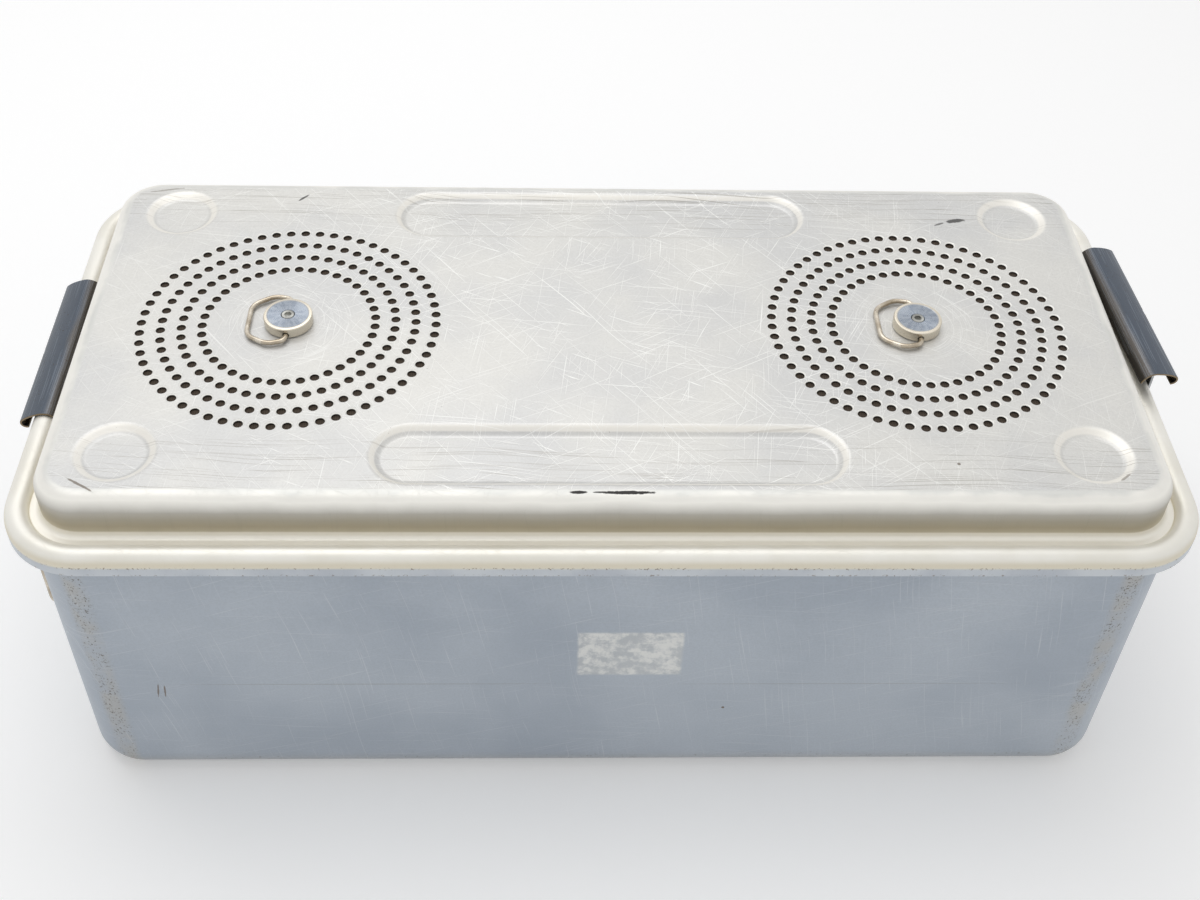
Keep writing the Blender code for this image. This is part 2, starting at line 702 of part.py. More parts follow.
def make_filter_stack(prefix, x):
    """Filter paper, its seal and the perforated retainer, all held up by the stud's bar."""
    paper_top = UNDERSIDE - SEAT_GAP
    paper_bottom = paper_top - FILTER_SHEET
    hub = STUD_RADIUS + STUD_CLEARANCE
    filter_paper(turned(prefix + "_filter", [(hub, paper_top), (FILTER_RADIUS, paper_top),
                                             (FILTER_RADIUS, paper_bottom), (hub, paper_bottom)], (x, 0)))
    seal_top = paper_bottom - SEAT_GAP
    seal_bottom = seal_top - FILTER_SEAL_HEIGHT
    silicone(turned(prefix + "_filter_seal",
                    [(FILTER_SEAL_INNER, seal_top), (FILTER_SEAL_OUTER, seal_top),
                     (FILTER_SEAL_OUTER, seal_bottom), (FILTER_SEAL_INNER, seal_bottom)], (x, 0)))
    rim = seal_bottom - SEAT_GAP
    dish = rim - RETAINER_DISH
    sheet = RETAINER_SHEET
    retainer = turned(prefix + "_retainer",
                      [(hub, dish), (RETAINER_STEP_INNER, dish), (RETAINER_STEP_OUTER, rim),
                       (RETAINER_RADIUS, rim), (RETAINER_RADIUS, rim - sheet),
                       (RETAINER_STEP_OUTER + sheet / 2, rim - sheet),
                       (RETAINER_STEP_INNER + sheet / 2, dish - sheet), (hub, dish - sheet)], (x, 0))
    spots = []
    for i in range(RETAINER_HOLE_COUNT):
        angle = 2 * math.pi * (i + 0.5) / RETAINER_HOLE_COUNT
        spots.append((x + RETAINER_HOLE_RING * math.cos(angle), RETAINER_HOLE_RING * math.sin(angle), angle))
    holes = prisms(prefix + "_retainer_holes", spots, RETAINER_HOLE_RADIUS, dish - sheet - OVERRUN,
                   dish + OVERRUN, RIVET_SIDES)
    boolean(retainer, holes, "DIFFERENCE")
    slot_half_length = BAR_LENGTH / 2 + BAR_CLEARANCE
    slot_half_width = BAR_WIDTH / 2 + BAR_CLEARANCE
    slot = block(prefix + "_retainer_slot", (x - slot_half_width, -slot_half_length, dish - sheet - OVERRUN),
                 (x + slot_half_width, slot_half_length, dish + OVERRUN))
    boolean(retainer, slot, "DIFFERENCE")
    aluminium(retainer)
    return dish - sheet


def make_knob(prefix, x, bar_seat):
    """Knob, stud with its cross bar, screw, wave washer and lifting ring."""
    base = LID_TOP + SEAT_GAP
    top = base + KNOB_HEIGHT
    stud_top = base + KNOB_HEIGHT * KNOB_STUD_SHARE
    stud_bore = STUD_RADIUS + SEAT_GAP
    screw_bore = STUD_CORE_RADIUS
    sink = SCREW_RADIUS + SEAT_GAP
    knob = turned(prefix + "_knob",
                  [(screw_bore, stud_top + SEAT_GAP), (stud_bore, stud_top + SEAT_GAP), (stud_bore, base),
                   (WASHER_INNER - SEAT_GAP, base), (WASHER_INNER - SEAT_GAP, base + KNOB_POCKET_DEPTH),
                   (KNOB_POCKET_RADIUS, base + KNOB_POCKET_DEPTH), (KNOB_POCKET_RADIUS, base),
                   (KNOB_RADIUS, base), (KNOB_RADIUS, top - KNOB_CHAMFER), (KNOB_RADIUS - KNOB_CHAMFER, top),
                   (sink, top), (sink, top - SCREW_RADIUS * SCREW_LAND_SHARE),
                   (screw_bore, top - SCREW_RADIUS * SCREW_HEAD_SHARE)],
                  (x, 0), KNOB_SIDES)
    axis_level = LID_TOP + RING_AXIS_HEIGHT
    for sign in (-1, 1):
        ends = sorted((sign * (KNOB_RADIUS - RING_PIN_LENGTH - SEAT_GAP), sign * (KNOB_RADIUS + OVERRUN)))
        work = bmesh.new()
        rings = []
        for y in ends:
            rings.append([work.verts.new((x + RING_BORE * math.cos(math.radians(a)), y,
                                          axis_level + RING_BORE * math.sin(math.radians(a))))
                          for a in range(0, 360, 360 // KNOB_BORE_SIDES)])
        work.faces.new(rings[0])
        work.faces.new(reversed(rings[1]))
        for i in range(len(rings[0])):
            j = (i + 1) % len(rings[0])
            work.faces.new((rings[0][i], rings[1][i], rings[1][j], rings[0][j]))
        boolean(knob, place(prefix + "_knob_bore", work), "DIFFERENCE")
    steel(set_origin(knob, (x, 0, LID_TOP)))
    core_floor = top - SCREW_LENGTH - SEAT_GAP
    bottom = bar_seat - SEAT_GAP - BAR_HEIGHT
    stud = turned(prefix + "_knob_stud",
                  [(0, core_floor), (STUD_CORE_RADIUS, core_floor), (STUD_CORE_RADIUS, stud_top),
                   (STUD_RADIUS, stud_top), (STUD_RADIUS, bottom), (0, bottom)], (x, 0), RIVET_SIDES * 2)
    bar = block(prefix + "_knob_bar", (x - BAR_LENGTH / 2, -BAR_WIDTH / 2, bottom),
                (x + BAR_LENGTH / 2, BAR_WIDTH / 2, bottom + BAR_HEIGHT))
    boolean(stud, bar, "UNION")
    steel(set_origin(stud, (x, 0, LID_TOP)))
    screw = turned(prefix + "_knob_screw",
                   [(0, top), (SCREW_RADIUS, top), (SCREW_RADIUS, top - SCREW_RADIUS * SCREW_LAND_SHARE),
                    (SCREW_SHANK_RADIUS, top - SCREW_RADIUS * SCREW_HEAD_SHARE),
                    (SCREW_SHANK_RADIUS, top - SCREW_LENGTH), (0, top - SCREW_LENGTH)],
                   (x, 0), RIVET_SIDES * 2)
    socket = prisms(prefix + "_knob_screw_socket", [(x, 0, 0)], SCREW_SOCKET_RADIUS,
                    top - SCREW_SOCKET_DEPTH, top + OVERRUN, SCREW_SOCKET_SIDES)
    boolean(screw, socket, "DIFFERENCE")
    steel(set_origin(screw, (x, 0, LID_TOP)))
    make_wave_washer(prefix, x, base + KNOB_POCKET_DEPTH / 2)
    make_knob_ring(prefix, x, axis_level)


def make_wave_washer(prefix, x, middle):
    """A closed ring of thin sheet that waves up and down between the lid and the knob."""
    work = bmesh.new()
    sides = WASHER_WAVES * 6
    rings = []
    for radius, half in ((WASHER_INNER, 1), (WASHER_OUTER, 1), (WASHER_OUTER, -1), (WASHER_INNER, -1)):
        ring = []
        for i in range(sides):
            angle = 2 * math.pi * i / sides
            level = middle + WASHER_WAVE * math.cos(WASHER_WAVES * angle) + half * WASHER_SHEET / 2
            ring.append(work.verts.new((x + radius * math.cos(angle), radius * math.sin(angle), level)))
        rings.append(ring)
    for near, far in zip(rings, rings[1:] + rings[:1]):
        for i in range(sides):
            j = (i + 1) % sides
            work.faces.new((near[i], far[i], far[j], near[j]))
    steel(smooth(place(prefix + "_knob_washer", work)))


def make_knob_ring(prefix, x, axis_level):
    """D-shaped wire ring that folds down on the lid; its ends turn in the knob's side bores."""
    pin = KNOB_RADIUS - RING_PIN_LENGTH
    bow_level = LID_TOP + SEAT_GAP + RING_WIRE - axis_level
    bulge_level = bow_level * RING_BULGE_OUT / RING_REACH
    half = [((0, pin, 0), 0), ((0, RING_SHOULDER, 0), RING_BEND_RADIUS),
            ((-RING_BULGE_OUT, RING_HALF_WIDTH, bulge_level), RING_BULGE_RADIUS),
            ((-RING_REACH, RING_BOW_HALF_WIDTH, bow_level), RING_BOW_RADIUS)]
    other = [((out, -across, up), radius) for (out, across, up), radius in reversed(half)]
    ring = tube(prefix + "_knob_ring", rounded_path(half + other), RING_WIRE, 1)
    ring.location = (x, 0, axis_level)
    steel(ring)


def make_handle(prefix, side):
    """Wire bail with its grip, hung from two riveted lugs."""
    level = LID_TOP - HANDLE_PIVOT_DROP
    out = -HANDLE_PIVOT_IN
    arm = HANDLE_PIVOT_Y + HANDLE_ARM_OUT
    pin = HANDLE_PIVOT_Y - HANDLE_PIN
    corners = [((0, pin, 0), 0), ((0, arm, 0), HANDLE_EYE_BEND), ((0, arm, -HANDLE_DROP), HANDLE_BEND),
               ((0, -arm, -HANDLE_DROP), HANDLE_BEND), ((0, -arm, 0), HANDLE_EYE_BEND), ((0, -pin, 0), 0)]
    bail = tube(prefix + "_handle", rounded_path(corners), HANDLE_WIRE, 2)
    bail.location = outward(side, out, 0, level)
    steel(bail)
    inner = HANDLE_WIRE + GRIP_CLEARANCE
    grip = cross_rod(prefix + "_handle_grip", side, out, level - HANDLE_DROP, -GRIP_LENGTH / 2,
                     GRIP_LENGTH / 2, GRIP_RADIUS, RIVET_SIDES * 2)
    bore = cross_rod(prefix + "_handle_grip_bore", side, out, level - HANDLE_DROP,
                     -GRIP_LENGTH / 2 - OVERRUN, GRIP_LENGTH / 2 + OVERRUN, inner, RIVET_SIDES * 2)
    boolean(grip, bore, "DIFFERENCE")
    grip_plastic(set_origin(grip, outward(side, out, 0, level)))
    for place_name, sign in (("near", -1), ("far", 1)):
        make_handle_lug("%s_handle_lug_%s" % (prefix, place_name), side, sign * HANDLE_PIVOT_Y, level)


def make_handle_lug(name, side, y, level):
    """A riveted plate with a barrel in which the bail's pin turns."""
    back = -TUB_IN + SEAT_GAP
    out = -HANDLE_PIVOT_IN
    half_barrel = LUG_BARREL_LENGTH / 2
    lug = side_block(name, side, back, back + LUG_SHEET, y - LUG_PLATE_WIDTH / 2, y + LUG_PLATE_WIDTH / 2,
                     level - LUG_PLATE_HEIGHT, level + LUG_BARREL_RADIUS)
    web = side_block(name + "_web", side, back + LUG_SHEET / 2, out - HANDLE_WIRE, y - half_barrel,
                     y + half_barrel, level - LUG_BARREL_RADIUS / 2, level + LUG_BARREL_RADIUS / 2)
    barrel = cross_rod(name + "_barrel", side, out, level, y - half_barrel - LUG_BARREL_PROUD,
                       y + half_barrel + LUG_BARREL_PROUD, LUG_BARREL_RADIUS, RIVET_SIDES * 2)
    for piece in (web, barrel):
        boolean(lug, piece, "UNION")
    bore = cross_rod(name + "_bore", side, out, level, y - LUG_BARREL_LENGTH, y + LUG_BARREL_LENGTH,
                     HANDLE_WIRE + LUG_CLEARANCE, RIVET_SIDES * 2)
    boolean(lug, bore, "DIFFERENCE")
    for rivet_y, rivet_level, sheet, carried in side_rivet_places(side):
        if carried == "lug" and rivet_y == y:
            boolean(lug, cross_bore(name + "_rivet_hole", side, rivet_y, rivet_level, RIVET_HOLE,
                                    back - OVERRUN, back + sheet + OVERRUN), "DIFFERENCE")
    return steel(lug)


def make_latch_guide(prefix, side, y):
    """Channel riveted to the tub, in which the latch link slides up and down."""
    back = -TUB_IN + SEAT_GAP
    front = back + GUIDE_DEPTH
    sheet = GUIDE_SHEET
    inner = LINK_WIDTH / 2 + GUIDE_SIDE_GAP
    outer = inner + sheet
    lip = inner - GUIDE_LIP
    half = [(back, -outer), (front, -outer), (front, -lip), (front - sheet, -lip), (front - sheet, -inner),
            (back + sheet, -inner)]
    section = half + [(out, -across) for out, across in reversed(half)]
    work = bmesh.new()
    rings = []
    for level in (LID_TOP - GUIDE_BOTTOM_DROP, LID_TOP - GUIDE_TOP_DROP):
        rings.append([work.verts.new(outward(side, out, y + across, level)) for out, across in section])
    work.faces.new(rings[0])
    work.faces.new(reversed(rings[1]))
    for i in range(len(section)):
        j = (i + 1) % len(section)
        work.faces.new((rings[0][i], rings[1][i], rings[1][j], rings[0][j]))
    guide = place(prefix + "_latch_guide", work)
    anchor = LID_TOP - GUIDE_TAB_DROP
    tab = side_block(prefix + "_latch_guide_tab", side, back + sheet / 2, -LINK_INNER_IN + SPRING_RADIUS,
                     y - GUIDE_TAB_HALF, y + GUIDE_TAB_HALF, anchor - sheet, anchor)
    boolean(guide, tab, "UNION")
    for index, (rivet_y, level, _, carried) in enumerate(side_rivet_places(side)):
        if carried == "guide":
            boolean(guide, cross_bore("%s_guide_rivet_hole_%d" % (prefix, index), side, rivet_y, level,
                                      RIVET_HOLE, back - OVERRUN, back + sheet + OVERRUN), "DIFFERENCE")
    return steel(guide)


def make_latch_link(prefix, side, y):
    """Sliding plate with a jog under the rim, a tab for the swivel and a slot for the spring."""
    out = LINK_OUT + LINK_SHEET / 2
    inner = -LINK_INNER_IN
    jog_top = LID_TOP - LINK_JOG_TOP_DROP
    line = [(inner, LID_TOP - LINK_BOTTOM_DROP), (inner, jog_top - LINK_JOG_HEIGHT), (out, jog_top),
            (out, LID_TOP - LINK_TOP_DROP)]
    link = folded_sheet(prefix + "_latch_link", side, line, LINK_SHEET,
                        y - LINK_WIDTH / 2, y + LINK_WIDTH / 2)
    tab = side_block(prefix + "_link_tab", side, out, out + TAB_REACH, y - TAB_HALF_WIDTH,
                     y + TAB_HALF_WIDTH, LID_TOP - LINK_TOP_DROP - LINK_SHEET, LID_TOP - LINK_TOP_DROP)
    boolean(link, tab, "UNION")
    stem_far = PIVOT_OUT + STEM_SLOT_LENGTH
    slot = side_block(prefix + "_link_stem_slot", side, LINK_OUT + LINK_SHEET, stem_far, y - STEM_SLOT_HALF,
                      y + STEM_SLOT_HALF, LID_TOP - LINK_TOP_DROP - LINK_SHEET - OVERRUN,
                      LID_TOP - LINK_TOP_DROP + OVERRUN)
    boolean(link, slot, "DIFFERENCE")
    fork = side_block(prefix + "_link_fork", side, inner - OVERRUN, inner + OVERRUN, y - LINK_SLOT_HALF,
                      y + LINK_SLOT_HALF, LID_TOP - LINK_BOTTOM_DROP - OVERRUN, LID_TOP - LINK_SLOT_TOP_DROP)
    boolean(link, fork, "DIFFERENCE")
    return dark_steel(link)


def make_latch_swivel(prefix, side, y):
    """Pin on which the hook turns; its stem hangs loosely in the link's tab."""
    level = LID_TOP - PIVOT_DROP
    foot = LID_TOP - LINK_TOP_DROP - LINK_SHEET - STEM_FOOT_GAP - STEM_FOOT_RADIUS
    swivel = cross_rod(prefix + "_latch_swivel", side, PIVOT_OUT, level, y - PIVOT_HALF_LENGTH,
                       y + PIVOT_HALF_LENGTH, PIVOT_RADIUS, RIVET_SIDES * 2)
    stem = side_block(prefix + "_swivel_stem", side, PIVOT_OUT - STEM_RADIUS, PIVOT_OUT + STEM_RADIUS,
                      y - STEM_RADIUS, y + STEM_RADIUS, foot, level)
    bar = side_block(prefix + "_swivel_foot", side, PIVOT_OUT - STEM_FOOT_RADIUS,
                     PIVOT_OUT + STEM_FOOT_RADIUS, y - STEM_FOOT_HALF, y + STEM_FOOT_HALF,
                     foot - STEM_FOOT_RADIUS, foot + STEM_FOOT_RADIUS)
    for piece in (stem, bar):
        boolean(swivel, piece, "UNION")
    return steel(swivel)


def make_latch_hook(prefix, side, y):
    """Rolled strip: a lip in the lid's groove, an arch over the bead and a curl round the pin."""
    arch = BEAD_RADIUS + HOOK_GAP + HOOK_SHEET / 2
    curl = PIVOT_RADIUS + PIVOT_CLEARANCE + HOOK_SHEET / 2
    over = [(-BEAD_RADIUS + arch * math.cos(math.radians(a)),
             BEAD_CENTRE_LEVEL + arch * math.sin(math.radians(a))) for a in HOOK_ARCH_ANGLES]
    lip_angle = math.radians(HOOK_ARCH_ANGLES[0])
    lip = (over[0][0] - HOOK_LIP * math.sin(lip_angle), over[0][1] + HOOK_LIP * math.cos(lip_angle))
    pivot_level = LID_TOP - PIVOT_DROP
    round_pin = [(PIVOT_OUT + curl * math.cos(math.radians(a)),
                  pivot_level + curl * math.sin(math.radians(a))) for a in HOOK_CURL_ANGLES]
    hook = folded_sheet(prefix + "_latch_hook", side, [lip] + over + round_pin, HOOK_SHEET,
                        y - HOOK_LENGTH / 2, y + HOOK_LENGTH / 2)
    notch = side_block(prefix + "_hook_notch", side, PIVOT_OUT - curl, PIVOT_OUT + curl * 2,
                       y - HOOK_NOTCH_HALF, y + HOOK_NOTCH_HALF, pivot_level - curl * 2,
                       pivot_level + PIVOT_RADIUS + PIVOT_CLEARANCE)
    boolean(hook, notch, "DIFFERENCE")
    return dark_steel(smooth(hook))


def make_latch_spring(prefix, side, y, stretch):
    """Tension spring between the guide's tab and the top of the link's slot."""
    low = LID_TOP - GUIDE_TAB_DROP + SPRING_WIRE + SEAT_GAP
    high = LID_TOP - LINK_SLOT_TOP_DROP + stretch - SPRING_WIRE - SEAT_GAP
    steps = SPRING_TURNS * SPRING_POINTS_PER_TURN
    points = []
    for i in range(steps + 1):
        angle = 2 * math.pi * i / SPRING_POINTS_PER_TURN
        points.append(Vector((SPRING_RADIUS * math.cos(angle), SPRING_RADIUS * math.sin(angle),
                              (high - low) * i / steps)))
    half_turn = SPRING_POINTS_PER_TURN // 2
    gap = min((b - a).length for i, a in enumerate(points) for b in points[i + half_turn:]) - 2 * SPRING_WIRE
    print(prefix, "latch spring, least gap to itself in mm:", round(gap * 1000, 2))
    spring = tube(prefix + "_latch_spring", points, SPRING_WIRE, 1)
    spring.location = outward(side, -LINK_INNER_IN, y, low)
    return steel(spring)


def make_latch(prefix, side):
    """One latch; the right one is modelled as it stands in use: pulled up, loose and askew."""
    y = LATCH_Y[0] if side < 0 else LATCH_Y[1]
    lift = LATCH_TRAVEL if side > 0 else 0.0
    make_latch_guide(prefix, side, y)
    make_latch_spring(prefix, side, y, lift)
    pivot = Vector(outward(side, PIVOT_OUT, y, LID_TOP - PIVOT_DROP))
    slider = hang(prefix + "_link_slide", pivot, [make_latch_link(prefix, side, y)])
    holder = hang(prefix + "_hook_pivot", pivot, [make_latch_swivel(prefix, side, y),
                                                  make_latch_hook(prefix, side, y)])
    for empty in (slider, holder):
        empty.location.z += lift
    loose = Matrix.Rotation(side * HOOK_YAW, 3, "Z") @ Matrix.Rotation(-side * HOOK_TILT, 3, "Y")
    if lift:
        holder.rotation_euler = loose.to_euler()
    axis, angle = loose.to_quaternion().to_axis_angle()
    print(prefix, "hook pivot", [round(c, 5) for c in holder.location], "rocking axis",
          [round(c, 5) for c in axis], "angle", round(angle, 6))


def build():
    for thing in list(bpy.data.objects):
        bpy.data.objects.remove(thing, do_unlink=True)
    make_tub()
    make_lid()
    make_lid_seal()
    for prefix, side in (("left", -1), ("right", 1)):
        make_rivets(prefix, side)
        bar_seat = make_filter_stack(prefix, side * VENT_X)
        make_knob(prefix, side * VENT_X, bar_seat)
        make_handle(prefix, side)
        make_latch(prefix, side)


build()
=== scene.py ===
# %% [markdown]
# # A sterilization container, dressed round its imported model
# The container is a deep aluminium tub with a vented lid, worn by years of washing and stacking.
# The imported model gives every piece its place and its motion. This lesson gives each piece its
# fine shape and its finish. Everything is in metres, with the tub's base at zero height.

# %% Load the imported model
import json
import math

import bmesh
import bpy
from mathutils import Matrix, Vector


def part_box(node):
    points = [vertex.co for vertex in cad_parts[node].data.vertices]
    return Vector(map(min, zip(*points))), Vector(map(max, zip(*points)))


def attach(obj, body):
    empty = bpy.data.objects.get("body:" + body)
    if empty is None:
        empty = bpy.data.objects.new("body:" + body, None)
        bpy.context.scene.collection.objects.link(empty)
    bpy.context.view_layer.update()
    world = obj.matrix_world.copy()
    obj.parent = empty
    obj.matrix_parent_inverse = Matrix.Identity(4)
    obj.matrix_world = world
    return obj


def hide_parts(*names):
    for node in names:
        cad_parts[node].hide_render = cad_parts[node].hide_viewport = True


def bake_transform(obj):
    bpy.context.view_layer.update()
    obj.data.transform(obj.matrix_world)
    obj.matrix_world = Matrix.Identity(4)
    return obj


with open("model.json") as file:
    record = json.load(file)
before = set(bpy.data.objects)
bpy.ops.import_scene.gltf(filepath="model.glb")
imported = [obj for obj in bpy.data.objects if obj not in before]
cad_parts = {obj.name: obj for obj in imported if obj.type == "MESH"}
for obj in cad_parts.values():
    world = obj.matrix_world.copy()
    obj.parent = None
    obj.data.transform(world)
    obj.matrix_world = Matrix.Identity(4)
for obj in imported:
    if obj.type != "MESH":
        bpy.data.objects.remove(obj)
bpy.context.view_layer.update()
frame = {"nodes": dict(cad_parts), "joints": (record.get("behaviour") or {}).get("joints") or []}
print("packed nodes:", len(frame["nodes"]))

# %% [markdown]
# ## Camera
# The photograph was taken from in front and above, with a short telephoto view. A camera in
# Blender looks straight down at first, so it is tipped up to its pitch, turned by its yaw and
# rolled about its own axis. The optical axis didn't pass through the middle of the picture, so
# the lens is shifted to match.

# %% Camera
PICTURE_WIDTH = 1200
PICTURE_HEIGHT = 900
FOCAL_PIXELS = 1541.5
AXIS_PIXEL = (597.0, 412.6)
CAMERA_PLACE = (-0.0335, -0.6320, 0.7667)
CAMERA_PITCH = math.radians(44.125)
CAMERA_YAW = math.radians(2.814)
CAMERA_ROLL = math.radians(-2.181)

camera_data = bpy.data.cameras.new("camera")
camera_data.sensor_fit = "HORIZONTAL"
camera_data.lens = camera_data.sensor_width * FOCAL_PIXELS / PICTURE_WIDTH
camera_data.shift_x = (PICTURE_WIDTH / 2 - AXIS_PIXEL[0]) / PICTURE_WIDTH
camera_data.shift_y = (AXIS_PIXEL[1] - PICTURE_HEIGHT / 2) / PICTURE_WIDTH
camera_data.clip_start = 0.01
camera = bpy.data.objects.new("camera", camera_data)
turn = Matrix.Rotation(-CAMERA_YAW, 4, "Z") @ Matrix.Rotation(math.pi / 2 - CAMERA_PITCH, 4, "X")
camera.matrix_world = Matrix.Translation(CAMERA_PLACE) @ turn @ Matrix.Rotation(-CAMERA_ROLL, 4, "Z")
bpy.context.scene.collection.objects.link(camera)
bpy.context.scene.camera = camera
bpy.context.scene.view_settings.view_transform = "Standard"
print("lens in mm:", round(camera_data.lens, 1))

# %% [markdown]
# ## Small helpers for shader nodes
# A material is a graph of nodes. Writing it out call by call hides what it does, so a Graph wraps
# a node tree in short methods. Each places a node, wires its inputs and hands back the socket that
# the next node needs. Colours are given as the eye reads them on a screen, from 0 to 255.


# %% Shader node helpers
def shade(red, green, blue):
    """A colour as seen on a screen, as linear light."""
    channels = []
    for value in (red, green, blue):
        part = value / 255
        channels.append(part / 12.92 if part <= 0.04045 else ((part + 0.055) / 1.055) ** 2.4)
    return (*channels, 1.0)


class Graph:
    """A node tree with short ways to add to it; a value is a constant or another node's socket."""

    def __init__(self, tree):
        self.tree = tree

    def join(self, value, socket):
        if isinstance(value, bpy.types.NodeSocket):
            self.tree.links.new(value, socket)
        else:
            socket.default_value = value

    def add(self, kind, inputs=None, **settings):
        """Place a node; its inputs go by name or index."""
        made = self.tree.nodes.new("ShaderNode" + kind)
        for name, value in settings.items():
            setattr(made, name, value)
        for key, value in (inputs or {}).items():
            self.join(value, made.inputs[key])
        return made

    def use(self, which, **inputs):
        """Place a node group; an underscore in an input's name stands for a space."""
        named = {name.replace("_", " "): value for name, value in inputs.items()}
        return self.add("Group", named, node_tree=which).outputs[0]

    def calc(self, operation, *values):
        return self.add("Math", dict(enumerate(values)), operation=operation).outputs[0]

    def times(self, product, *values):
        for value in values:
            product = self.calc("MULTIPLY", product, value)
        return product

    def ramp(self, value, low, high, start=0.0, end=1.0):
        """A smooth step from one value to another."""
        made = self.add("MapRange", {"Value": value, "From Min": low, "From Max": high,
                                     "To Min": start, "To Max": end}, interpolation_type="SMOOTHSTEP")
        return made.outputs["Result"]

    def blend(self, share, *colours):
        """Share 0 shows the first colour, share 1 the second; each is a socket or red, green and blue."""
        below, above = (c if isinstance(c, bpy.types.NodeSocket) else shade(*c) for c in colours)
        return self.add("Mix", {0: share, 6: below, 7: above}, data_type="RGBA").outputs[2]

    def noise(self, place, scale, detail=2.0, roughness=0.5):
        inputs = {"Vector": place, "Scale": scale, "Detail": detail, "Roughness": roughness}
        return self.add("TexNoise", inputs).outputs[0]

    def split(self, vector):
        """The X, Y and Z sockets of a vector."""
        return self.add("SeparateXYZ", {0: vector}).outputs

    def vector(self, x, y=0.0, z=0.0):
        return self.add("CombineXYZ", {0: x, 1: y, 2: z}).outputs[0]

    def vector_math(self, operation, first, second):
        return self.add("VectorMath", {0: first, 1: second}, operation=operation).outputs[0]

    def rotate(self, vector, angle):
        return self.add("VectorRotate", {"Vector": vector, "Angle": angle}, rotation_type="Z_AXIS").outputs[0]

    def reach(self, x, y):
        """The length of the vector (x, y)."""
        return self.calc("SQRT", self.calc("MULTIPLY_ADD", x, x, self.calc("MULTIPLY", y, y)))


print("colour check, mid grey:", [round(c, 3) for c in shade(128, 128, 128)])

# %% [markdown]
# ## Effects shared by the worn metals
# Scratches, specks and bands of wear appear on the lid, the tub, the hooks and the knobs, each
# time with other sizes. Each effect is a node group with named inputs, built once. A scratch is
# noise stretched far along one direction, of which only the rare peaks are kept. Streaks work in
# the first two axes of the place they get, so a wall is given its own two axes first.


# %% Node groups
def group(name, *inputs):
    """A new node group with one output; an input is (name, default) and a vector has no default."""
    tree = bpy.data.node_groups.new(name, "ShaderNodeTree")
    for label, default in inputs:
        kind = "NodeSocketVector" if default is None else "NodeSocketFloat"
        socket = tree.interface.new_socket(label, in_out="INPUT", socket_type=kind)
        if default is not None:
            socket.default_value = default
    tree.interface.new_socket("Result", in_out="OUTPUT", socket_type="NodeSocketFloat")
    return Graph(tree), tree.nodes.new("NodeGroupInput").outputs, tree.nodes.new("NodeGroupOutput").inputs[0]


def make_streaks():
    """Fine scratches along one direction, gently bowed."""
    g, given, result = group("streaks", ("Place", None), ("Turn", 0.0), ("Length", 0.04), ("Width", 0.0005),
                             ("Rarity", 0.66), ("Seed", 0.0))
    bow = g.add("TexNoise", {"Vector": given["Place"], "Scale": 9.0, "Detail": 1.0}).outputs["Color"]
    bowed = g.vector_math("MULTIPLY", bow, (0.012, 0.012, 0.0))
    x, y, z = g.split(g.rotate(g.vector_math("ADD", given["Place"], bowed), given["Turn"]))
    along = g.calc("DIVIDE", x, given["Length"])
    across = g.calc("DIVIDE", y, given["Width"])
    peaks = g.noise(g.vector(along, across, given["Seed"]), 1.0, 1.0)
    g.join(g.ramp(peaks, given["Rarity"], g.calc("ADD", given["Rarity"], 0.035)), result)
    return g.tree


def make_specks():
    """Small chips and dark spots, thick where a slow noise is high."""
    g, given, result = group("specks", ("Place", None), ("Size", 0.002), ("Rarity", 0.70), ("Patch", 0.05))
    fine = g.noise(given["Place"], g.calc("DIVIDE", 1.0, given["Size"]), 2.0, 0.7)
    slow = g.noise(given["Place"], g.calc("DIVIDE", 1.0, given["Patch"]), 1.0)
    peaks = g.calc("ADD", fine, g.calc("MULTIPLY_ADD", slow, 0.16, -0.08))
    g.join(g.ramp(peaks, given["Rarity"], g.calc("ADD", given["Rarity"], 0.03)), result)
    return g.tree


def make_band():
    """One inside a band of values, falling softly to zero outside it."""
    g, given, result = group("band", ("Value", 0.0), ("Middle", 0.0), ("Half width", 0.01),
                             ("Softness", 0.01))
    away = g.calc("ABSOLUTE", g.calc("SUBTRACT", given["Value"], given["Middle"]))
    edge = g.calc("ADD", given["Half width"], given["Softness"])
    g.join(g.ramp(away, given["Half width"], edge, 1.0, 0.0), result)
    return g.tree


STREAKS = make_streaks()
SPECKS = make_specks()
BAND = make_band()
print("node groups:", [g.name for g in bpy.data.node_groups])

# %% [markdown]
# ## Sizes read from the frame
# The lid's box gives the rim's outer faces, the flat top and the skirt's lower edge. Sections are
# drawn as points of (in, level): how far in from the rim's outer face, and the height. The radii
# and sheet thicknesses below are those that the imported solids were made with.

# %% Sizes
lid_low, lid_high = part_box("lid")
HALF_LENGTH = lid_high.x
HALF_WIDTH = lid_high.y
LID_TOP = lid_high.z
SKIRT_LEVEL = lid_low.z
RIM_CORNER = 0.042
LID_SHEET = 0.0015
CREST_DROP = 0.021
BEAD_RADIUS = 0.00625
GROOVE_DEPTH = 0.0045
GROOVE_FILLET = 0.0030
PLATEAU_IN = 0.018
SHOULDER_RADIUS = 0.009
FLAT_START = PLATEAU_IN + SHOULDER_RADIUS
BEAD_LEVEL = LID_TOP - CREST_DROP - BEAD_RADIUS
GROOVE_LEVEL = LID_TOP - CREST_DROP - GROOVE_DEPTH
VENT_X = 0.170
SIDES = (("left", -1), ("right", 1))
print("rim length and width:", round(2 * HALF_LENGTH, 4), round(2 * HALF_WIDTH, 4))

# %% [markdown]
# ## Making meshes
# A pressed or drawn sheet is a section carried round a rounded rectangle. A turned piece is a
# section carried round an axis. A wire is a curve with a round bevel, turned into a mesh so that
# it can be cut and exported like the rest.


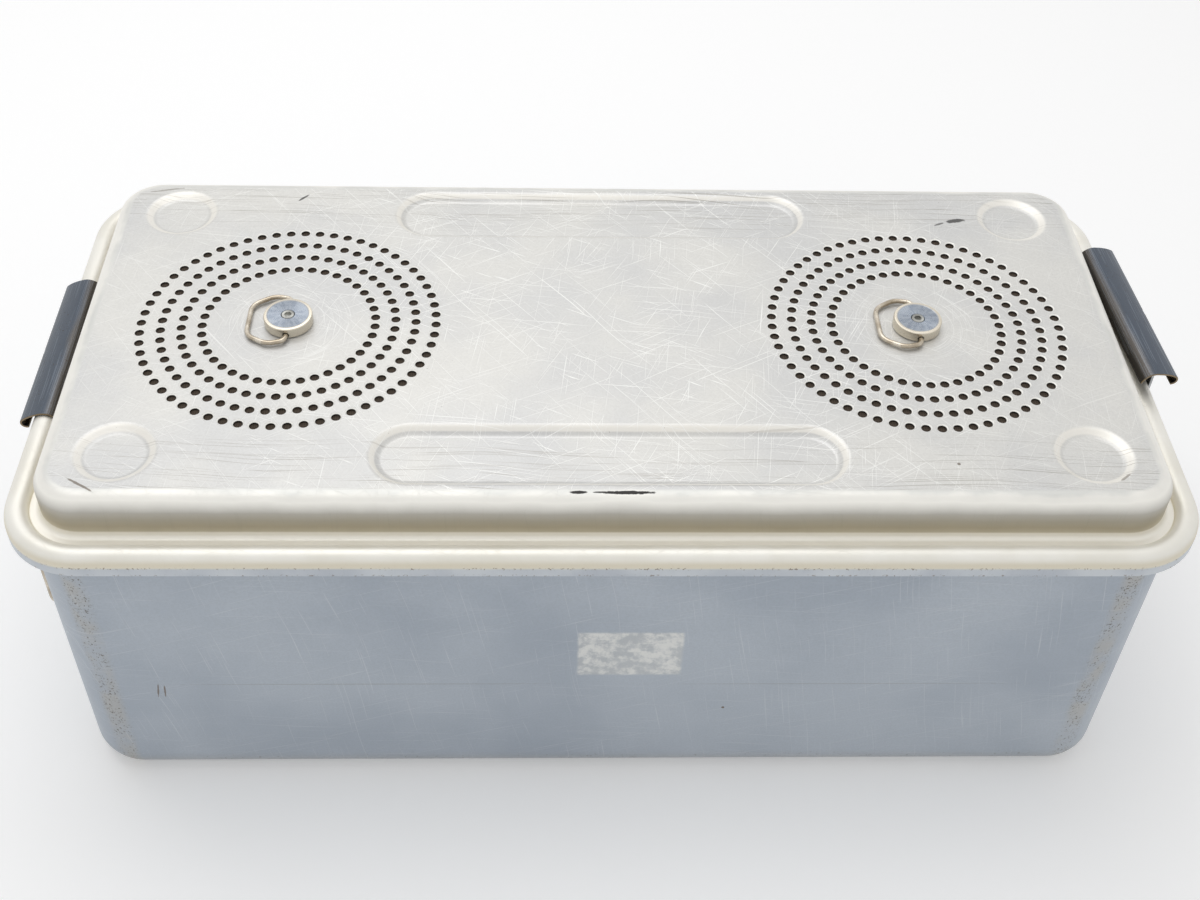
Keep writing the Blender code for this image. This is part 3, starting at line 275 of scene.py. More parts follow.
# %% Mesh helpers
SHARP_ANGLE = 35.0
WIRE_SHARP_ANGLE = 50.0


def smooth(mesh, angle):
    """Shade a mesh smooth and keep its sharp bends sharp."""
    mesh.shade_smooth()
    mesh.set_sharp_from_angle(angle=math.radians(angle))


def stand(name, mesh, angle):
    """Put a mesh in the scene."""
    thing = bpy.data.objects.new(name, mesh)
    bpy.context.scene.collection.objects.link(thing)
    smooth(mesh, angle)
    return thing


def place(name, work, angle=SHARP_ANGLE):
    """Turn a bmesh into an object."""
    bmesh.ops.recalc_face_normals(work, faces=work.faces)
    mesh = bpy.data.meshes.new(name)
    work.to_mesh(mesh)
    work.free()
    return stand(name, mesh, angle)


def arc(middle_in, middle_level, radius, start, end, steps):
    """Points on an arc; an angle of zero is straight in, in degrees."""
    points = []
    for step in range(steps + 1):
        angle = math.radians(start + (end - start) * step / steps)
        points.append((middle_in + radius * math.cos(angle), middle_level + radius * math.sin(angle)))
    return points


def rounded_loop(inset, level, steps=16):
    """A rounded rectangle, the rim's outline drawn in by inset."""
    radius = RIM_CORNER - inset
    points = []
    for quarter, (sign_x, sign_y) in enumerate(((1, 1), (-1, 1), (-1, -1), (1, -1))):
        for step in range(steps + 1):
            angle = math.radians(90 * (quarter + step / steps))
            x = sign_x * (HALF_LENGTH - RIM_CORNER) + radius * math.cos(angle)
            y = sign_y * (HALF_WIDTH - RIM_CORNER) + radius * math.sin(angle)
            points.append((x, y, level))
    return points


def circle(middle, radius, level, sides):
    turns = [2 * math.pi * i / sides for i in range(sides)]
    return [(middle[0] + radius * math.cos(t), middle[1] + radius * math.sin(t), level) for t in turns]


def stacked(name, stacks, to_place=Matrix(), angle=SHARP_ANGLE):
    """Solids from stacks of rings: quads join each ring to the next, and the two ends are closed."""
    work = bmesh.new()
    for rings in stacks:
        loops = [[work.verts.new(point) for point in ring] for ring in rings]
        for near, far in zip(loops, loops[1:]):
            for i in range(len(near)):
                j = (i + 1) % len(near)
                work.faces.new((near[i], near[j], far[j], far[i]))
        work.faces.new(loops[0])
        work.faces.new(reversed(loops[-1]))
    work.transform(to_place)
    return place(name, work, angle)


def loft(name, section):
    """Carry a section round the container."""
    return stacked(name, [[rounded_loop(inset, level) for inset, level in section]])


def turned(name, profile, sides=64, to_place=Matrix(), angle=SHARP_ANGLE):
    """Turn (radius, level) points about the Z axis, or about any axis that to_place moves Z to."""
    rings = [circle((0.0, 0.0), radius, level, sides) for radius, level in profile]
    return stacked(name, [rings], to_place, angle)


def carve(thing, tool, operation="DIFFERENCE"):
    """Apply a Boolean at once and throw its tool away."""
    step = thing.modifiers.new("carve", "BOOLEAN")
    step.operation = operation
    step.solver = "MANIFOLD"
    step.object = tool
    bpy.context.view_layer.update()
    graph = bpy.context.evaluated_depsgraph_get()
    shaped = bpy.data.meshes.new_from_object(thing.evaluated_get(graph))
    thing.modifiers.remove(step)
    thing.data = shaped
    bpy.data.objects.remove(tool)
    return thing


def even_shading(thing, angle=SHARP_ANGLE):
    """Keep large flat faces flat where small curved ones meet them."""
    smooth(thing.data, angle)
    step = thing.modifiers.new("even shading", "WEIGHTED_NORMAL")
    step.keep_sharp = True
    return thing


def wire(name, points, radius, resolution=6):
    """A round wire along points, with closed ends, as a mesh."""
    curve = bpy.data.curves.new(name, "CURVE")
    curve.dimensions = "3D"
    curve.bevel_depth = radius
    curve.bevel_resolution = resolution
    curve.use_fill_caps = True
    spline = curve.splines.new("POLY")
    spline.points.add(len(points) - 1)
    for knot, point in zip(spline.points, points):
        knot.co = (*point, 1.0)
    guide = bpy.data.objects.new(name + "_guide", curve)
    bpy.context.scene.collection.objects.link(guide)
    graph = bpy.context.evaluated_depsgraph_get()
    mesh = bpy.data.meshes.new_from_object(guide.evaluated_get(graph))
    bpy.data.objects.remove(guide)
    return stand(name, mesh, WIRE_SHARP_ANGLE)


def rounded_path(corners, steps=10):
    """Straight runs with rounded corners; a corner is (point, radius) and the ends have none."""
    path = [Vector(corners[0][0])]
    for (before, _), (point, radius), (after, _) in zip(corners, corners[1:], corners[2:]):
        point = Vector(point)
        back = (Vector(before) - point).normalized()
        ahead = (Vector(after) - point).normalized()
        half = back.angle(ahead) / 2
        start = point + back * radius / math.tan(half)
        middle = point + (back + ahead).normalized() * radius / math.sin(half)
        axis = back.cross(ahead).normalized()
        for step in range(steps + 1):
            turn = Matrix.Rotation((2 * half - math.pi) * step / steps, 3, axis)
            path.append(middle + turn @ (start - middle))
    path.append(Vector(corners[-1][0]))
    return path


def mirrored_wire(name, half, radius, steps, pivot):
    """A wire whose second half mirrors the first across its middle, drawn from a pivot."""
    other = [((x, -y, z), bend) for (x, y, z), bend in reversed(half)]
    thing = wire(name, rounded_path(half + other, steps), radius)
    thing.location = pivot
    return thing


def dress(thing, slot, material, *nodes):
    """Hide the imported nodes that a piece takes the place of, and give it its finish."""
    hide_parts(*nodes)
    thing.data.materials.clear()
    thing.data.materials.append(material)


def finish(thing, body, slot, material, *nodes):
    """Say what a piece rides on too."""
    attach(thing, body)
    dress(thing, slot, material, *nodes)


print("mesh helpers are ready")

# %% [markdown]
# ## The lid's pressed sheet
# The lid is one sheet: a flat plateau, a round shoulder, a wall down to a narrow groove, a rolled
# bead and a straight skirt. Carrying that section round a rounded rectangle makes the whole lid at
# once. The dimples and the finger recesses are pressed in, so their edges flow into the flat: the
# cutter's wall is an S-curve that leaves the floor and meets the top with no slope.

# %% Lid sheet
DIMPLE_PLACES = [(x, y) for x in (-0.2435, 0.2435) for y in (-0.0973, 0.0973)]
DIMPLE_FLOOR_RADIUS = 0.0142
DIMPLE_DEPTH = 0.0030
RECESS_PLACES = [(0.0, -0.0980), (0.0, 0.0980)]
RECESS_HALF_LENGTH = 0.1135
RECESS_FLOOR_HALF_WIDTH = 0.0148
RECESS_DEPTH = 0.0040
PRESS_BLEND = 0.0072
OVERRUN = 0.002


def lid_section():
    outer = [(0.0004, SKIRT_LEVEL), (0.0, SKIRT_LEVEL + 0.0004)]
    outer += arc(BEAD_RADIUS, BEAD_LEVEL, BEAD_RADIUS, 180, 15, 22)
    outer += arc(PLATEAU_IN - GROOVE_FILLET, GROOVE_LEVEL + GROOVE_FILLET, GROOVE_FILLET, -90, 0, 8)
    outer += arc(FLAT_START, LID_TOP - SHOULDER_RADIUS, SHOULDER_RADIUS, 180, 90, 14)
    under = arc(FLAT_START, LID_TOP - SHOULDER_RADIUS, SHOULDER_RADIUS - LID_SHEET, 90, 180, 6)
    under += [(PLATEAU_IN + LID_SHEET, GROOVE_LEVEL + GROOVE_FILLET),
              (PLATEAU_IN - GROOVE_FILLET, GROOVE_LEVEL - LID_SHEET)]
    under += arc(BEAD_RADIUS, BEAD_LEVEL, BEAD_RADIUS - LID_SHEET, 5, 180, 10)
    under += [(LID_SHEET, SKIRT_LEVEL)]
    return list(reversed(outer)) + list(reversed(under))


def stadium(middle, half_length, half_width, level, steps=20):
    """A loop with straight sides and round ends, or a circle where both halves are the same."""
    straight = max(half_length - half_width, 0.0)
    points = []
    for side, start in ((1, -90), (-1, 90)):
        for step in range(steps + 1):
            angle = math.radians(start + 180 * step / steps)
            x = middle[0] + side * straight + half_width * math.cos(angle)
            points.append((x, middle[1] + half_width * math.sin(angle), level))
    if straight < OVERRUN:
        points = points[:steps] + points[steps + 1:-1]
    return points


def press(name, places, half_length, half_width, steps_up):
    """Solid plugs, one at each place; a step up is (level, how far the outline has grown)."""
    return stacked(name, [[stadium(middle, half_length + grown, half_width + grown, level)
                           for level, grown in steps_up] for middle in places])


def hollow_steps(depth, steps=12):
    """The S-curve of a pressed hollow's wall, from its floor up through the flat."""
    wall = []
    for step in range(steps + 1):
        share = step / steps
        risen = share * share * (3 - 2 * share)
        wall.append((LID_TOP - max(depth * (1 - risen), LID_SHEET / 100), PRESS_BLEND * share))
    return wall + [(LID_TOP + OVERRUN, PRESS_BLEND)]


def backing_steps(depth):
    """The same wall under the sheet, so that a pressed hollow keeps the sheet's thickness."""
    return [(LID_TOP - depth - LID_SHEET, LID_SHEET / 2),
            (LID_TOP - depth / 2 - LID_SHEET, (PRESS_BLEND + LID_SHEET) / 2),
            (LID_TOP - LID_SHEET / 2, PRESS_BLEND)]


lid = loft("lid_shell", lid_section())
PRESSED = ((DIMPLE_PLACES, DIMPLE_FLOOR_RADIUS, DIMPLE_FLOOR_RADIUS, DIMPLE_DEPTH),
           (RECESS_PLACES, RECESS_HALF_LENGTH, RECESS_FLOOR_HALF_WIDTH, RECESS_DEPTH))
for places, half_length, half_width, depth in PRESSED:
    carve(lid, press("press_backing", places, half_length, half_width, backing_steps(depth)), "UNION")
for places, half_length, half_width, depth in PRESSED:
    carve(lid, press("press_tool", places, half_length, half_width, hollow_steps(depth)))
print("lid faces before the vents:", len(lid.data.polygons))

# %% [markdown]
# ## Vent holes
# Four rings of punched holes stand round each knob. Each hole's edge is slightly rounded by the
# punch and by wear, and the worn edge shows as a bright line. One cutter object holds a short
# prism for every hole, with a flared top, so one Boolean cuts them all.

# %% Vent holes
VENT_FIRST_RING = 0.0462
VENT_RING_STEP = 0.01087
VENT_HOLE_COUNTS = (39, 46, 53, 60)
VENT_HOLE_RADIUS = 0.0025
VENT_EDGE = 0.0007
STUD_HOLE_RADIUS = 0.0043


def vent_places():
    for side, start in ((-1, math.pi / 2), (1, -math.pi / 2)):
        for index, count in enumerate(VENT_HOLE_COUNTS):
            ring = VENT_FIRST_RING + VENT_RING_STEP * index
            for i in range(count):
                angle = start + 2 * math.pi * i / count
                yield side * VENT_X + ring * math.cos(angle), ring * math.sin(angle)


def hole_tool(name, places, radius, sides=14):
    """A short prism for every hole, flared at the top."""
    levels = ((LID_TOP - LID_SHEET - OVERRUN, radius), (LID_TOP - VENT_EDGE, radius),
              (LID_TOP, radius + VENT_EDGE), (LID_TOP + OVERRUN, radius + VENT_EDGE))
    return stacked(name, [[circle(middle, reach, level, sides) for level, reach in levels]
                          for middle in places])


carve(lid, hole_tool("vent_tool", vent_places(), VENT_HOLE_RADIUS))
carve(lid, hole_tool("stud_tool", [(-VENT_X, 0.0), (VENT_X, 0.0)], STUD_HOLE_RADIUS, 32))
even_shading(lid)
print("lid faces with the vents:", len(lid.data.polygons))

# %% [markdown]
# ## The tub
# The tub is drawn from one sheet with a slight taper, a round bend at the base and a turned
# flange under the lid's seal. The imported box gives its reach; the flange hides inside the rim.

# %% Tub sheet
tub_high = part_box("tub")[1]
TUB_SHEET = 0.0020
TUB_IN = 0.0100
TUB_TAPER = 0.0010
TUB_BASE_RADIUS = 0.0160
FLANGE_IN = HALF_LENGTH - tub_high.x
FLANGE_LEVEL = tub_high.z
FLANGE_LIP_LEVEL = LID_TOP - 0.0335


def tub_section():
    foot_in = TUB_IN + TUB_TAPER
    bend = TUB_BASE_RADIUS
    outer = arc(foot_in + bend, bend, bend, -90, -180, 12)
    outer += [(TUB_IN, FLANGE_LEVEL - TUB_SHEET), (FLANGE_IN + TUB_SHEET, FLANGE_LEVEL - TUB_SHEET)]
    outer += [(FLANGE_IN + TUB_SHEET, FLANGE_LIP_LEVEL), (FLANGE_IN, FLANGE_LIP_LEVEL)]
    inner = [(FLANGE_IN, FLANGE_LEVEL - TUB_SHEET / 2), (FLANGE_IN + TUB_SHEET / 2, FLANGE_LEVEL)]
    inner += [(TUB_IN + TUB_SHEET, FLANGE_LEVEL)]
    inner += arc(foot_in + bend, bend, bend - TUB_SHEET, -180, -90, 8)
    return outer + inner


tub = even_shading(loft("tub_shell", tub_section()))
print("tub faces:", len(tub.data.polygons))

# %% [markdown]
# ## Knobs, screws and lifting rings
# Each knob is turned from bar: a flat disc with a narrow chamfer and two cross bores for the
# ring's ends. A countersunk screw with a hexagon socket holds it on its stud. The ring is a wire
# bent to a D, whose ends turn in the bores so that it can be folded down on the lid.

# %% Knobs and rings
KNOB_RADIUS = 0.0130
KNOB_CHAMFER = 0.0007
KNOB_LIP = 0.0009
KNOB_DISH = 0.0002
TURNED_SHARP_ANGLE = 20.0
SCREW_RADIUS = 0.00335
SCREW_SINK_RADIUS = SCREW_RADIUS + 0.0003
SCREW_BORE_RADIUS = 0.0018
SCREW_SOCKET_RADIUS = 0.0021
SCREW_SOCKET_DEPTH = 0.0014
RING_WIRE = 0.00135
RING_BORE = 0.0018
RING_PIN_END = 0.0088
RING_SHOULDER = 0.0172
RING_BEND_RADIUS = 0.0040
RING_BULGE_OUT = 0.0095
RING_HALF_WIDTH = 0.0194
RING_BULGE_RADIUS = 0.0100
RING_REACH = 0.0212
RING_BOW_HALF_WIDTH = 0.0125
RING_BOW_RADIUS = 0.0090


def joint_place(name):
    """A joint's place at rest, in the frame."""
    return Vector(next(j for j in frame["joints"] if j["name"] == name)["pos_m"])


def make_knob(prefix):
    low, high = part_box(prefix + "_knob")
    x = (low.x + high.x) / 2
    base, top = low.z, high.z
    profile = [(STUD_HOLE_RADIUS, base), (KNOB_RADIUS - KNOB_CHAMFER / 2, base),
               (KNOB_RADIUS, base + KNOB_CHAMFER / 2), (KNOB_RADIUS, top - KNOB_CHAMFER),
               (KNOB_RADIUS - KNOB_CHAMFER * 0.4, top - KNOB_CHAMFER * 0.2),
               (KNOB_RADIUS - KNOB_LIP, top), (KNOB_RADIUS - 2 * KNOB_LIP, top),
               (KNOB_RADIUS - 2.3 * KNOB_LIP, top - KNOB_DISH),
               (SCREW_SINK_RADIUS + KNOB_DISH, top - KNOB_DISH),
               (SCREW_SINK_RADIUS, top - 2 * KNOB_DISH), (SCREW_BORE_RADIUS, top - SCREW_SINK_RADIUS)]
    knob = turned(prefix + "_turned_knob", profile, 72, Matrix.Translation((x, 0, 0)), TURNED_SHARP_ANGLE)
    pin_level = joint_place(prefix + "_ring_fold").z
    for sign in (-1, 1):
        bore = Matrix.Translation((x, sign * KNOB_RADIUS, pin_level)) @ Matrix.Rotation(math.pi / 2, 4, "X")
        depth = KNOB_RADIUS - RING_PIN_END
        carve(knob, turned("ring_bore", [(RING_BORE, -depth), (RING_BORE, depth)], 20, bore))
    return even_shading(knob, TURNED_SHARP_ANGLE)


def make_screw(prefix):
    low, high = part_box(prefix + "_knob_screw")
    x = (low.x + high.x) / 2
    top = high.z - KNOB_DISH
    flat = SCREW_RADIUS / 6
    profile = [(SCREW_BORE_RADIUS, low.z), (SCREW_BORE_RADIUS, top - SCREW_RADIUS * 2 / 3),
               (SCREW_RADIUS, top - flat), (SCREW_RADIUS, top - flat / 3), (SCREW_RADIUS - flat / 3, top)]
    screw = turned(prefix + "_socket_screw", profile, 40, Matrix.Translation((x, 0, 0)), TURNED_SHARP_ANGLE)
    socket = [(SCREW_SOCKET_RADIUS, top - SCREW_SOCKET_DEPTH), (SCREW_SOCKET_RADIUS, top + OVERRUN)]
    carve(screw, turned("socket_tool", socket, 6, Matrix.Translation((x, 0, 0))))
    return even_shading(screw, TURNED_SHARP_ANGLE)


def make_ring(prefix):
    pivot = joint_place(prefix + "_ring_fold")
    bow_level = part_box(prefix + "_knob_ring")[0].z + RING_WIRE - pivot.z
    bulge_level = bow_level * RING_BULGE_OUT / RING_REACH
    half = [((0, RING_PIN_END, 0), 0), ((0, RING_SHOULDER, 0), RING_BEND_RADIUS),
            ((-RING_BULGE_OUT, RING_HALF_WIDTH, bulge_level), RING_BULGE_RADIUS),
            ((-RING_REACH, RING_BOW_HALF_WIDTH, bow_level), RING_BOW_RADIUS)]
    return mirrored_wire(prefix + "_lifting_ring", half, RING_WIRE, 12, pivot)


knobs = {prefix: make_knob(prefix) for prefix, side in SIDES}
screws = {prefix: make_screw(prefix) for prefix, side in SIDES}
rings = {prefix: make_ring(prefix) for prefix, side in SIDES}
print("knob, screw and ring faces:", [len(p["left"].data.polygons) for p in (knobs, screws, rings)])

# %% [markdown]
# ## Latch hooks
# A hook is a strip rolled to a lip, an arch over the lid's bead and a curl round its pin. Its
# section is drawn once, in (out, level) from the pin's middle, and the sheet's two faces are that
# line moved half a thickness each way. Two attributes stay with the mesh, the share along the
# section and which face it is, so that the finish can change across the strip.

# %% Latch hooks
HOOK_LENGTH = 0.110
HOOK_SHEET = 0.0012
HOOK_GAP = 0.0006
HOOK_LIP = 0.0026
HOOK_EDGE = 0.00025
HOOK_NOTCH_HALF = 0.0022
HOOK_SHARP_ANGLE = 50.0
ARCH_START = 140
ARCH_END = 75
CURL_START = 50
CURL_END = -110
BULGE_STEPS = 8
PIVOT_OUT = 0.0036
PIVOT_LEVEL = LID_TOP - 0.0265
PIVOT_RADIUS = 0.0015
PIVOT_CLEARANCE = 0.0005
LATCH_TRAVEL = 0.014


def hook_line():
    """The strip's middle line from lip to curl, measured from the pin's middle."""
    arch = BEAD_RADIUS + HOOK_GAP + HOOK_SHEET / 2
    curl = PIVOT_RADIUS + PIVOT_CLEARANCE + HOOK_SHEET / 2
    over = arc(-BEAD_RADIUS, BEAD_LEVEL, arch, ARCH_START, ARCH_END, 12)
    lean = math.radians(ARCH_START)
    lip = (over[0][0] - HOOK_LIP * math.sin(lean), over[0][1] + HOOK_LIP * math.cos(lean))
    round_pin = arc(PIVOT_OUT, PIVOT_LEVEL, curl, CURL_START, CURL_END, 20)
    start, end = Vector(over[-1]), Vector(round_pin[0])
    run_in = Vector((math.sin(math.radians(ARCH_END)), -math.cos(math.radians(ARCH_END))))
    run_out = Vector((-math.sin(math.radians(CURL_START)), math.cos(math.radians(CURL_START))))
    shoulder = start + run_in * (end - start).cross(run_out) / run_in.cross(run_out)
    bulge = []
    for step in range(1, BULGE_STEPS):
        share = step / BULGE_STEPS
        bulge.append(tuple(start * (1 - share) ** 2 + shoulder * 2 * share * (1 - share) + end * share ** 2))
    line = [lip] + over + bulge + round_pin
    return [(out - PIVOT_OUT, level - PIVOT_LEVEL) for out, level in line]


def hook_sheet(name, side):
    """The strip with its two faces, edges and ends."""
    line = hook_line()
    work = bmesh.new()
    along = work.verts.layers.float.new("along_section")
    inner = work.verts.layers.float.new("inner_face")
    rows = []
    for y in (-HOOK_LENGTH / 2, HOOK_LENGTH / 2):
        for face in (1, -1):
            row = []
            for i, (out, level) in enumerate(line):
                before = Vector(line[max(i - 1, 0)])
                after = Vector(line[min(i + 1, len(line) - 1)])
                run = (after - before).normalized()
                point = Vector((out, level)) + Vector((-run.y, run.x)) * face * HOOK_SHEET / 2
                vert = work.verts.new((side * point.x, y, point.y))
                vert[along] = i / (len(line) - 1)
                vert[inner] = (1 - face) / 2
                row.append(vert)
            rows.append(row)
    near_outer, near_inner, far_outer, far_inner = rows
    around = (near_outer, far_outer, far_inner, near_inner)
    for i in range(len(line) - 1):
        for a, b in zip(around, around[1:] + around[:1]):
            work.faces.new((a[i], a[i + 1], b[i + 1], b[i]))
    for i in (0, len(line) - 1):
        work.faces.new([row[i] for row in around])
    return place(name, work, HOOK_SHARP_ANGLE)


def notch_tool(side):
    """A box that cuts the curl open where the pin's stem passes."""
    reach = 2 * (PIVOT_RADIUS + PIVOT_CLEARANCE + HOOK_SHEET)
    bottom, top = -reach, PIVOT_RADIUS + PIVOT_CLEARANCE
    notch = bmesh.new()
    bmesh.ops.create_cube(notch, size=1.0)
    for vert in notch.verts:
        x = side * (vert.co.x * (reach + reach / 2) + reach / 4)
        vert.co = (x, vert.co.y * 2 * HOOK_NOTCH_HALF, (bottom + top) / 2 + vert.co.z * (top - bottom))
    return place("notch_tool", notch)


def make_hook(prefix, side):
    """The closed hook about its pin; the loose one is then turned with its pin."""
    hook = hook_sheet(prefix + "_rolled_hook", side)
    carve(hook, notch_tool(side))
    soften = hook.modifiers.new("edges", "BEVEL")
    soften.width = HOOK_EDGE
    soften.segments = 2
    soften.limit_method = "ANGLE"
    soften.angle_limit = math.radians(HOOK_SHARP_ANGLE)
    pin = joint_place(prefix + "_hook_flip")
    hook.location = pin
    if pin.z > PIVOT_LEVEL + LATCH_TRAVEL / 2:
        rock = next(j for j in frame["joints"] if j["name"] == prefix + "_hook_rock")
        angle = math.radians(-rock["range_deg"][0])
        hook.rotation_euler = Matrix.Rotation(angle, 3, Vector(rock["axis"])).to_euler()
    return even_shading(hook, HOOK_SHARP_ANGLE)


hooks = {prefix: make_hook(prefix, side) for prefix, side in SIDES}
for prefix, side in SIDES:
    print(prefix, "hook pin:", [round(c, 4) for c in hooks[prefix].location])

# %% [markdown]
# ## Handles, springs and rivets
# The bail is a bent wire with a moulded grip threaded on it. The grip has shallow rings for the
# fingers. The spring is a helix that joins the tub to the sliding link. Rivets have domed heads
# on both sides of the wall.

# %% Handles, springs and rivets
HANDLE_WIRE = 0.0025
HANDLE_PIN_Y = 0.080
HANDLE_ARM_Y = 0.097
HANDLE_DROP = 0.0640
HANDLE_EYE_BEND = 0.0035
HANDLE_BEND = 0.0100
GRIP_RADIUS = 0.0060
GRIP_RINGS = 16
GRIP_RING_STEPS = 6
GRIP_RING_DEPTH = 0.0004
GRIP_END_RADIUS = GRIP_RADIUS * 0.85
GRIP_ROUNDING = GRIP_RADIUS * 0.2
SPRING_RADIUS = 0.0021
SPRING_WIRE = 0.0004
SPRING_TURNS = 7
SPRING_POINTS = 24
RIVET_DOME = 0.0014
RIVET_STEPS = 6
MOULDED_SHARP_ANGLE = 40.0


def make_bail(prefix):
    pivot = joint_place(prefix + "_handle_swing")
    half = [((0, HANDLE_PIN_Y, 0), 0), ((0, HANDLE_ARM_Y, 0), HANDLE_EYE_BEND),
            ((0, HANDLE_ARM_Y, -HANDLE_DROP), HANDLE_BEND)]
    return mirrored_wire(prefix + "_bail", half, HANDLE_WIRE, 10, pivot)


def make_grip(prefix):
    low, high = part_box(prefix + "_handle_grip")
    middle = (low + high) / 2
    half = (high.y - low.y) / 2
    profile = [(HANDLE_WIRE, -half), (GRIP_END_RADIUS, -half), (GRIP_RADIUS, -half + GRIP_ROUNDING)]
    steps = GRIP_RINGS * GRIP_RING_STEPS
    for i in range(steps + 1):
        wave = 0.5 - 0.5 * math.cos(2 * math.pi * i / GRIP_RING_STEPS)
        level = (half - GRIP_RADIUS) * (2 * i / steps - 1)
        profile.append((GRIP_RADIUS - GRIP_RING_DEPTH * wave, level))
    profile += [(GRIP_RADIUS, half - GRIP_ROUNDING), (GRIP_END_RADIUS, half), (HANDLE_WIRE, half)]
    lay_down = Matrix.Translation(middle) @ Matrix.Rotation(-math.pi / 2, 4, "X")
    return turned(prefix + "_ringed_grip", profile, 32, lay_down, MOULDED_SHARP_ANGLE)


def make_spring(prefix):
    low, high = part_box(prefix + "_latch_spring")
    middle = (low + high) / 2
    foot = low.z + SPRING_WIRE
    rise = high.z - low.z - 2 * SPRING_WIRE
    steps = SPRING_TURNS * SPRING_POINTS
    points = []
    for i in range(steps + 1):
        turn = 2 * math.pi * i / SPRING_POINTS
        points.append((middle.x + SPRING_RADIUS * math.cos(turn), middle.y + SPRING_RADIUS * math.sin(turn),
                       foot + rise * i / steps))
    return wire(prefix + "_coil_spring", points, SPRING_WIRE, 3)


def make_rivet(node, side):
    low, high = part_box(node)
    middle = (low + high) / 2
    head = (high.z - low.z) / 2
    inner, outer = (low.x, high.x) if side > 0 else (-high.x, -low.x)
    dome = []
    for step in range(RIVET_STEPS + 1):
        turn = math.pi / 2 * step / RIVET_STEPS
        dome.append((max(head * math.sin(turn), head / 50), RIVET_DOME * (1 - math.cos(turn))))
    profile = [(radius, inner + rise) for radius, rise in dome] + [(head / 2, inner + RIVET_DOME)]
    profile += [(head / 2, outer - RIVET_DOME)] + [(radius, outer - rise) for radius, rise in reversed(dome)]
    turn_out = Matrix.Translation((0, middle.y, middle.z)) @ Matrix.Rotation(side * math.pi / 2, 4, "Y")
    return turned(node + "_domed", profile, 24, turn_out, MOULDED_SHARP_ANGLE)


bails = {prefix: make_bail(prefix) for prefix, side in SIDES}
grips = {prefix: make_grip(prefix) for prefix, side in SIDES}
springs = {prefix: make_spring(prefix) for prefix, side in SIDES}
rivets = {}
for prefix, side in SIDES:
    for node in frame["nodes"]:
        if node.startswith(prefix) and "_rivet_" in node:
            rivets[node] = make_rivet(node, side)
print("rivets:", len(rivets))

# %% [markdown]
# ## Starting a finish
# Every finish here is a Principled shader whose colour, roughness and bump come from the place on
# the piece. The place is read in the object's own coordinates, so the wear travels with a piece
# when it moves. The colour is laid on coat by coat, each through a mask. Two more groups are
# needed. One tells how far in from the rim a place lies, and the other draws a single worn mark.


# %% Finish helpers
def make_rim_place():
    """How far in from the rim's outer face a place lies."""
    g, given, result = group("rim place", ("Place", None))
    x, y, z = g.split(given["Place"])
    over_x = g.calc("SUBTRACT", g.calc("ABSOLUTE", x), HALF_LENGTH - RIM_CORNER)
    over_y = g.calc("SUBTRACT", g.calc("ABSOLUTE", y), HALF_WIDTH - RIM_CORNER)
    corner = g.reach(g.calc("MAXIMUM", over_x, 0.0), g.calc("MAXIMUM", over_y, 0.0))
    flat = g.calc("MINIMUM", g.calc("MAXIMUM", over_x, over_y), 0.0)
    g.join(g.calc("SUBTRACT", RIM_CORNER, g.calc("ADD", corner, flat)), result)
    return g.tree


def make_mark():
    """One worn mark, turned and stretched, with a ragged edge."""
    g, given, result = group("mark", ("Place", None), ("X", 0.0), ("Y", 0.0), ("Turn", 0.0),
                             ("Half length", 0.01), ("Half width", 0.002))
    away = g.vector_math("SUBTRACT", given["Place"], g.vector(given["X"], given["Y"]))
    x, y, z = g.split(g.rotate(away, g.times(given["Turn"], -1.0)))
    spread = g.reach(g.calc("DIVIDE", x, given["Half length"]), g.calc("DIVIDE", y, given["Half width"]))
    ragged = g.calc("MULTIPLY_ADD", g.noise(given["Place"], 420.0, 3.0), 0.9, -0.45)
    g.join(g.ramp(g.calc("ADD", spread, ragged), 1.15, 0.75), result)
    return g.tree


RIM_PLACE = make_rim_place()
MARK = make_mark()
RUBBED_RADIUS = 0.025
SEED_STEP = 7.3


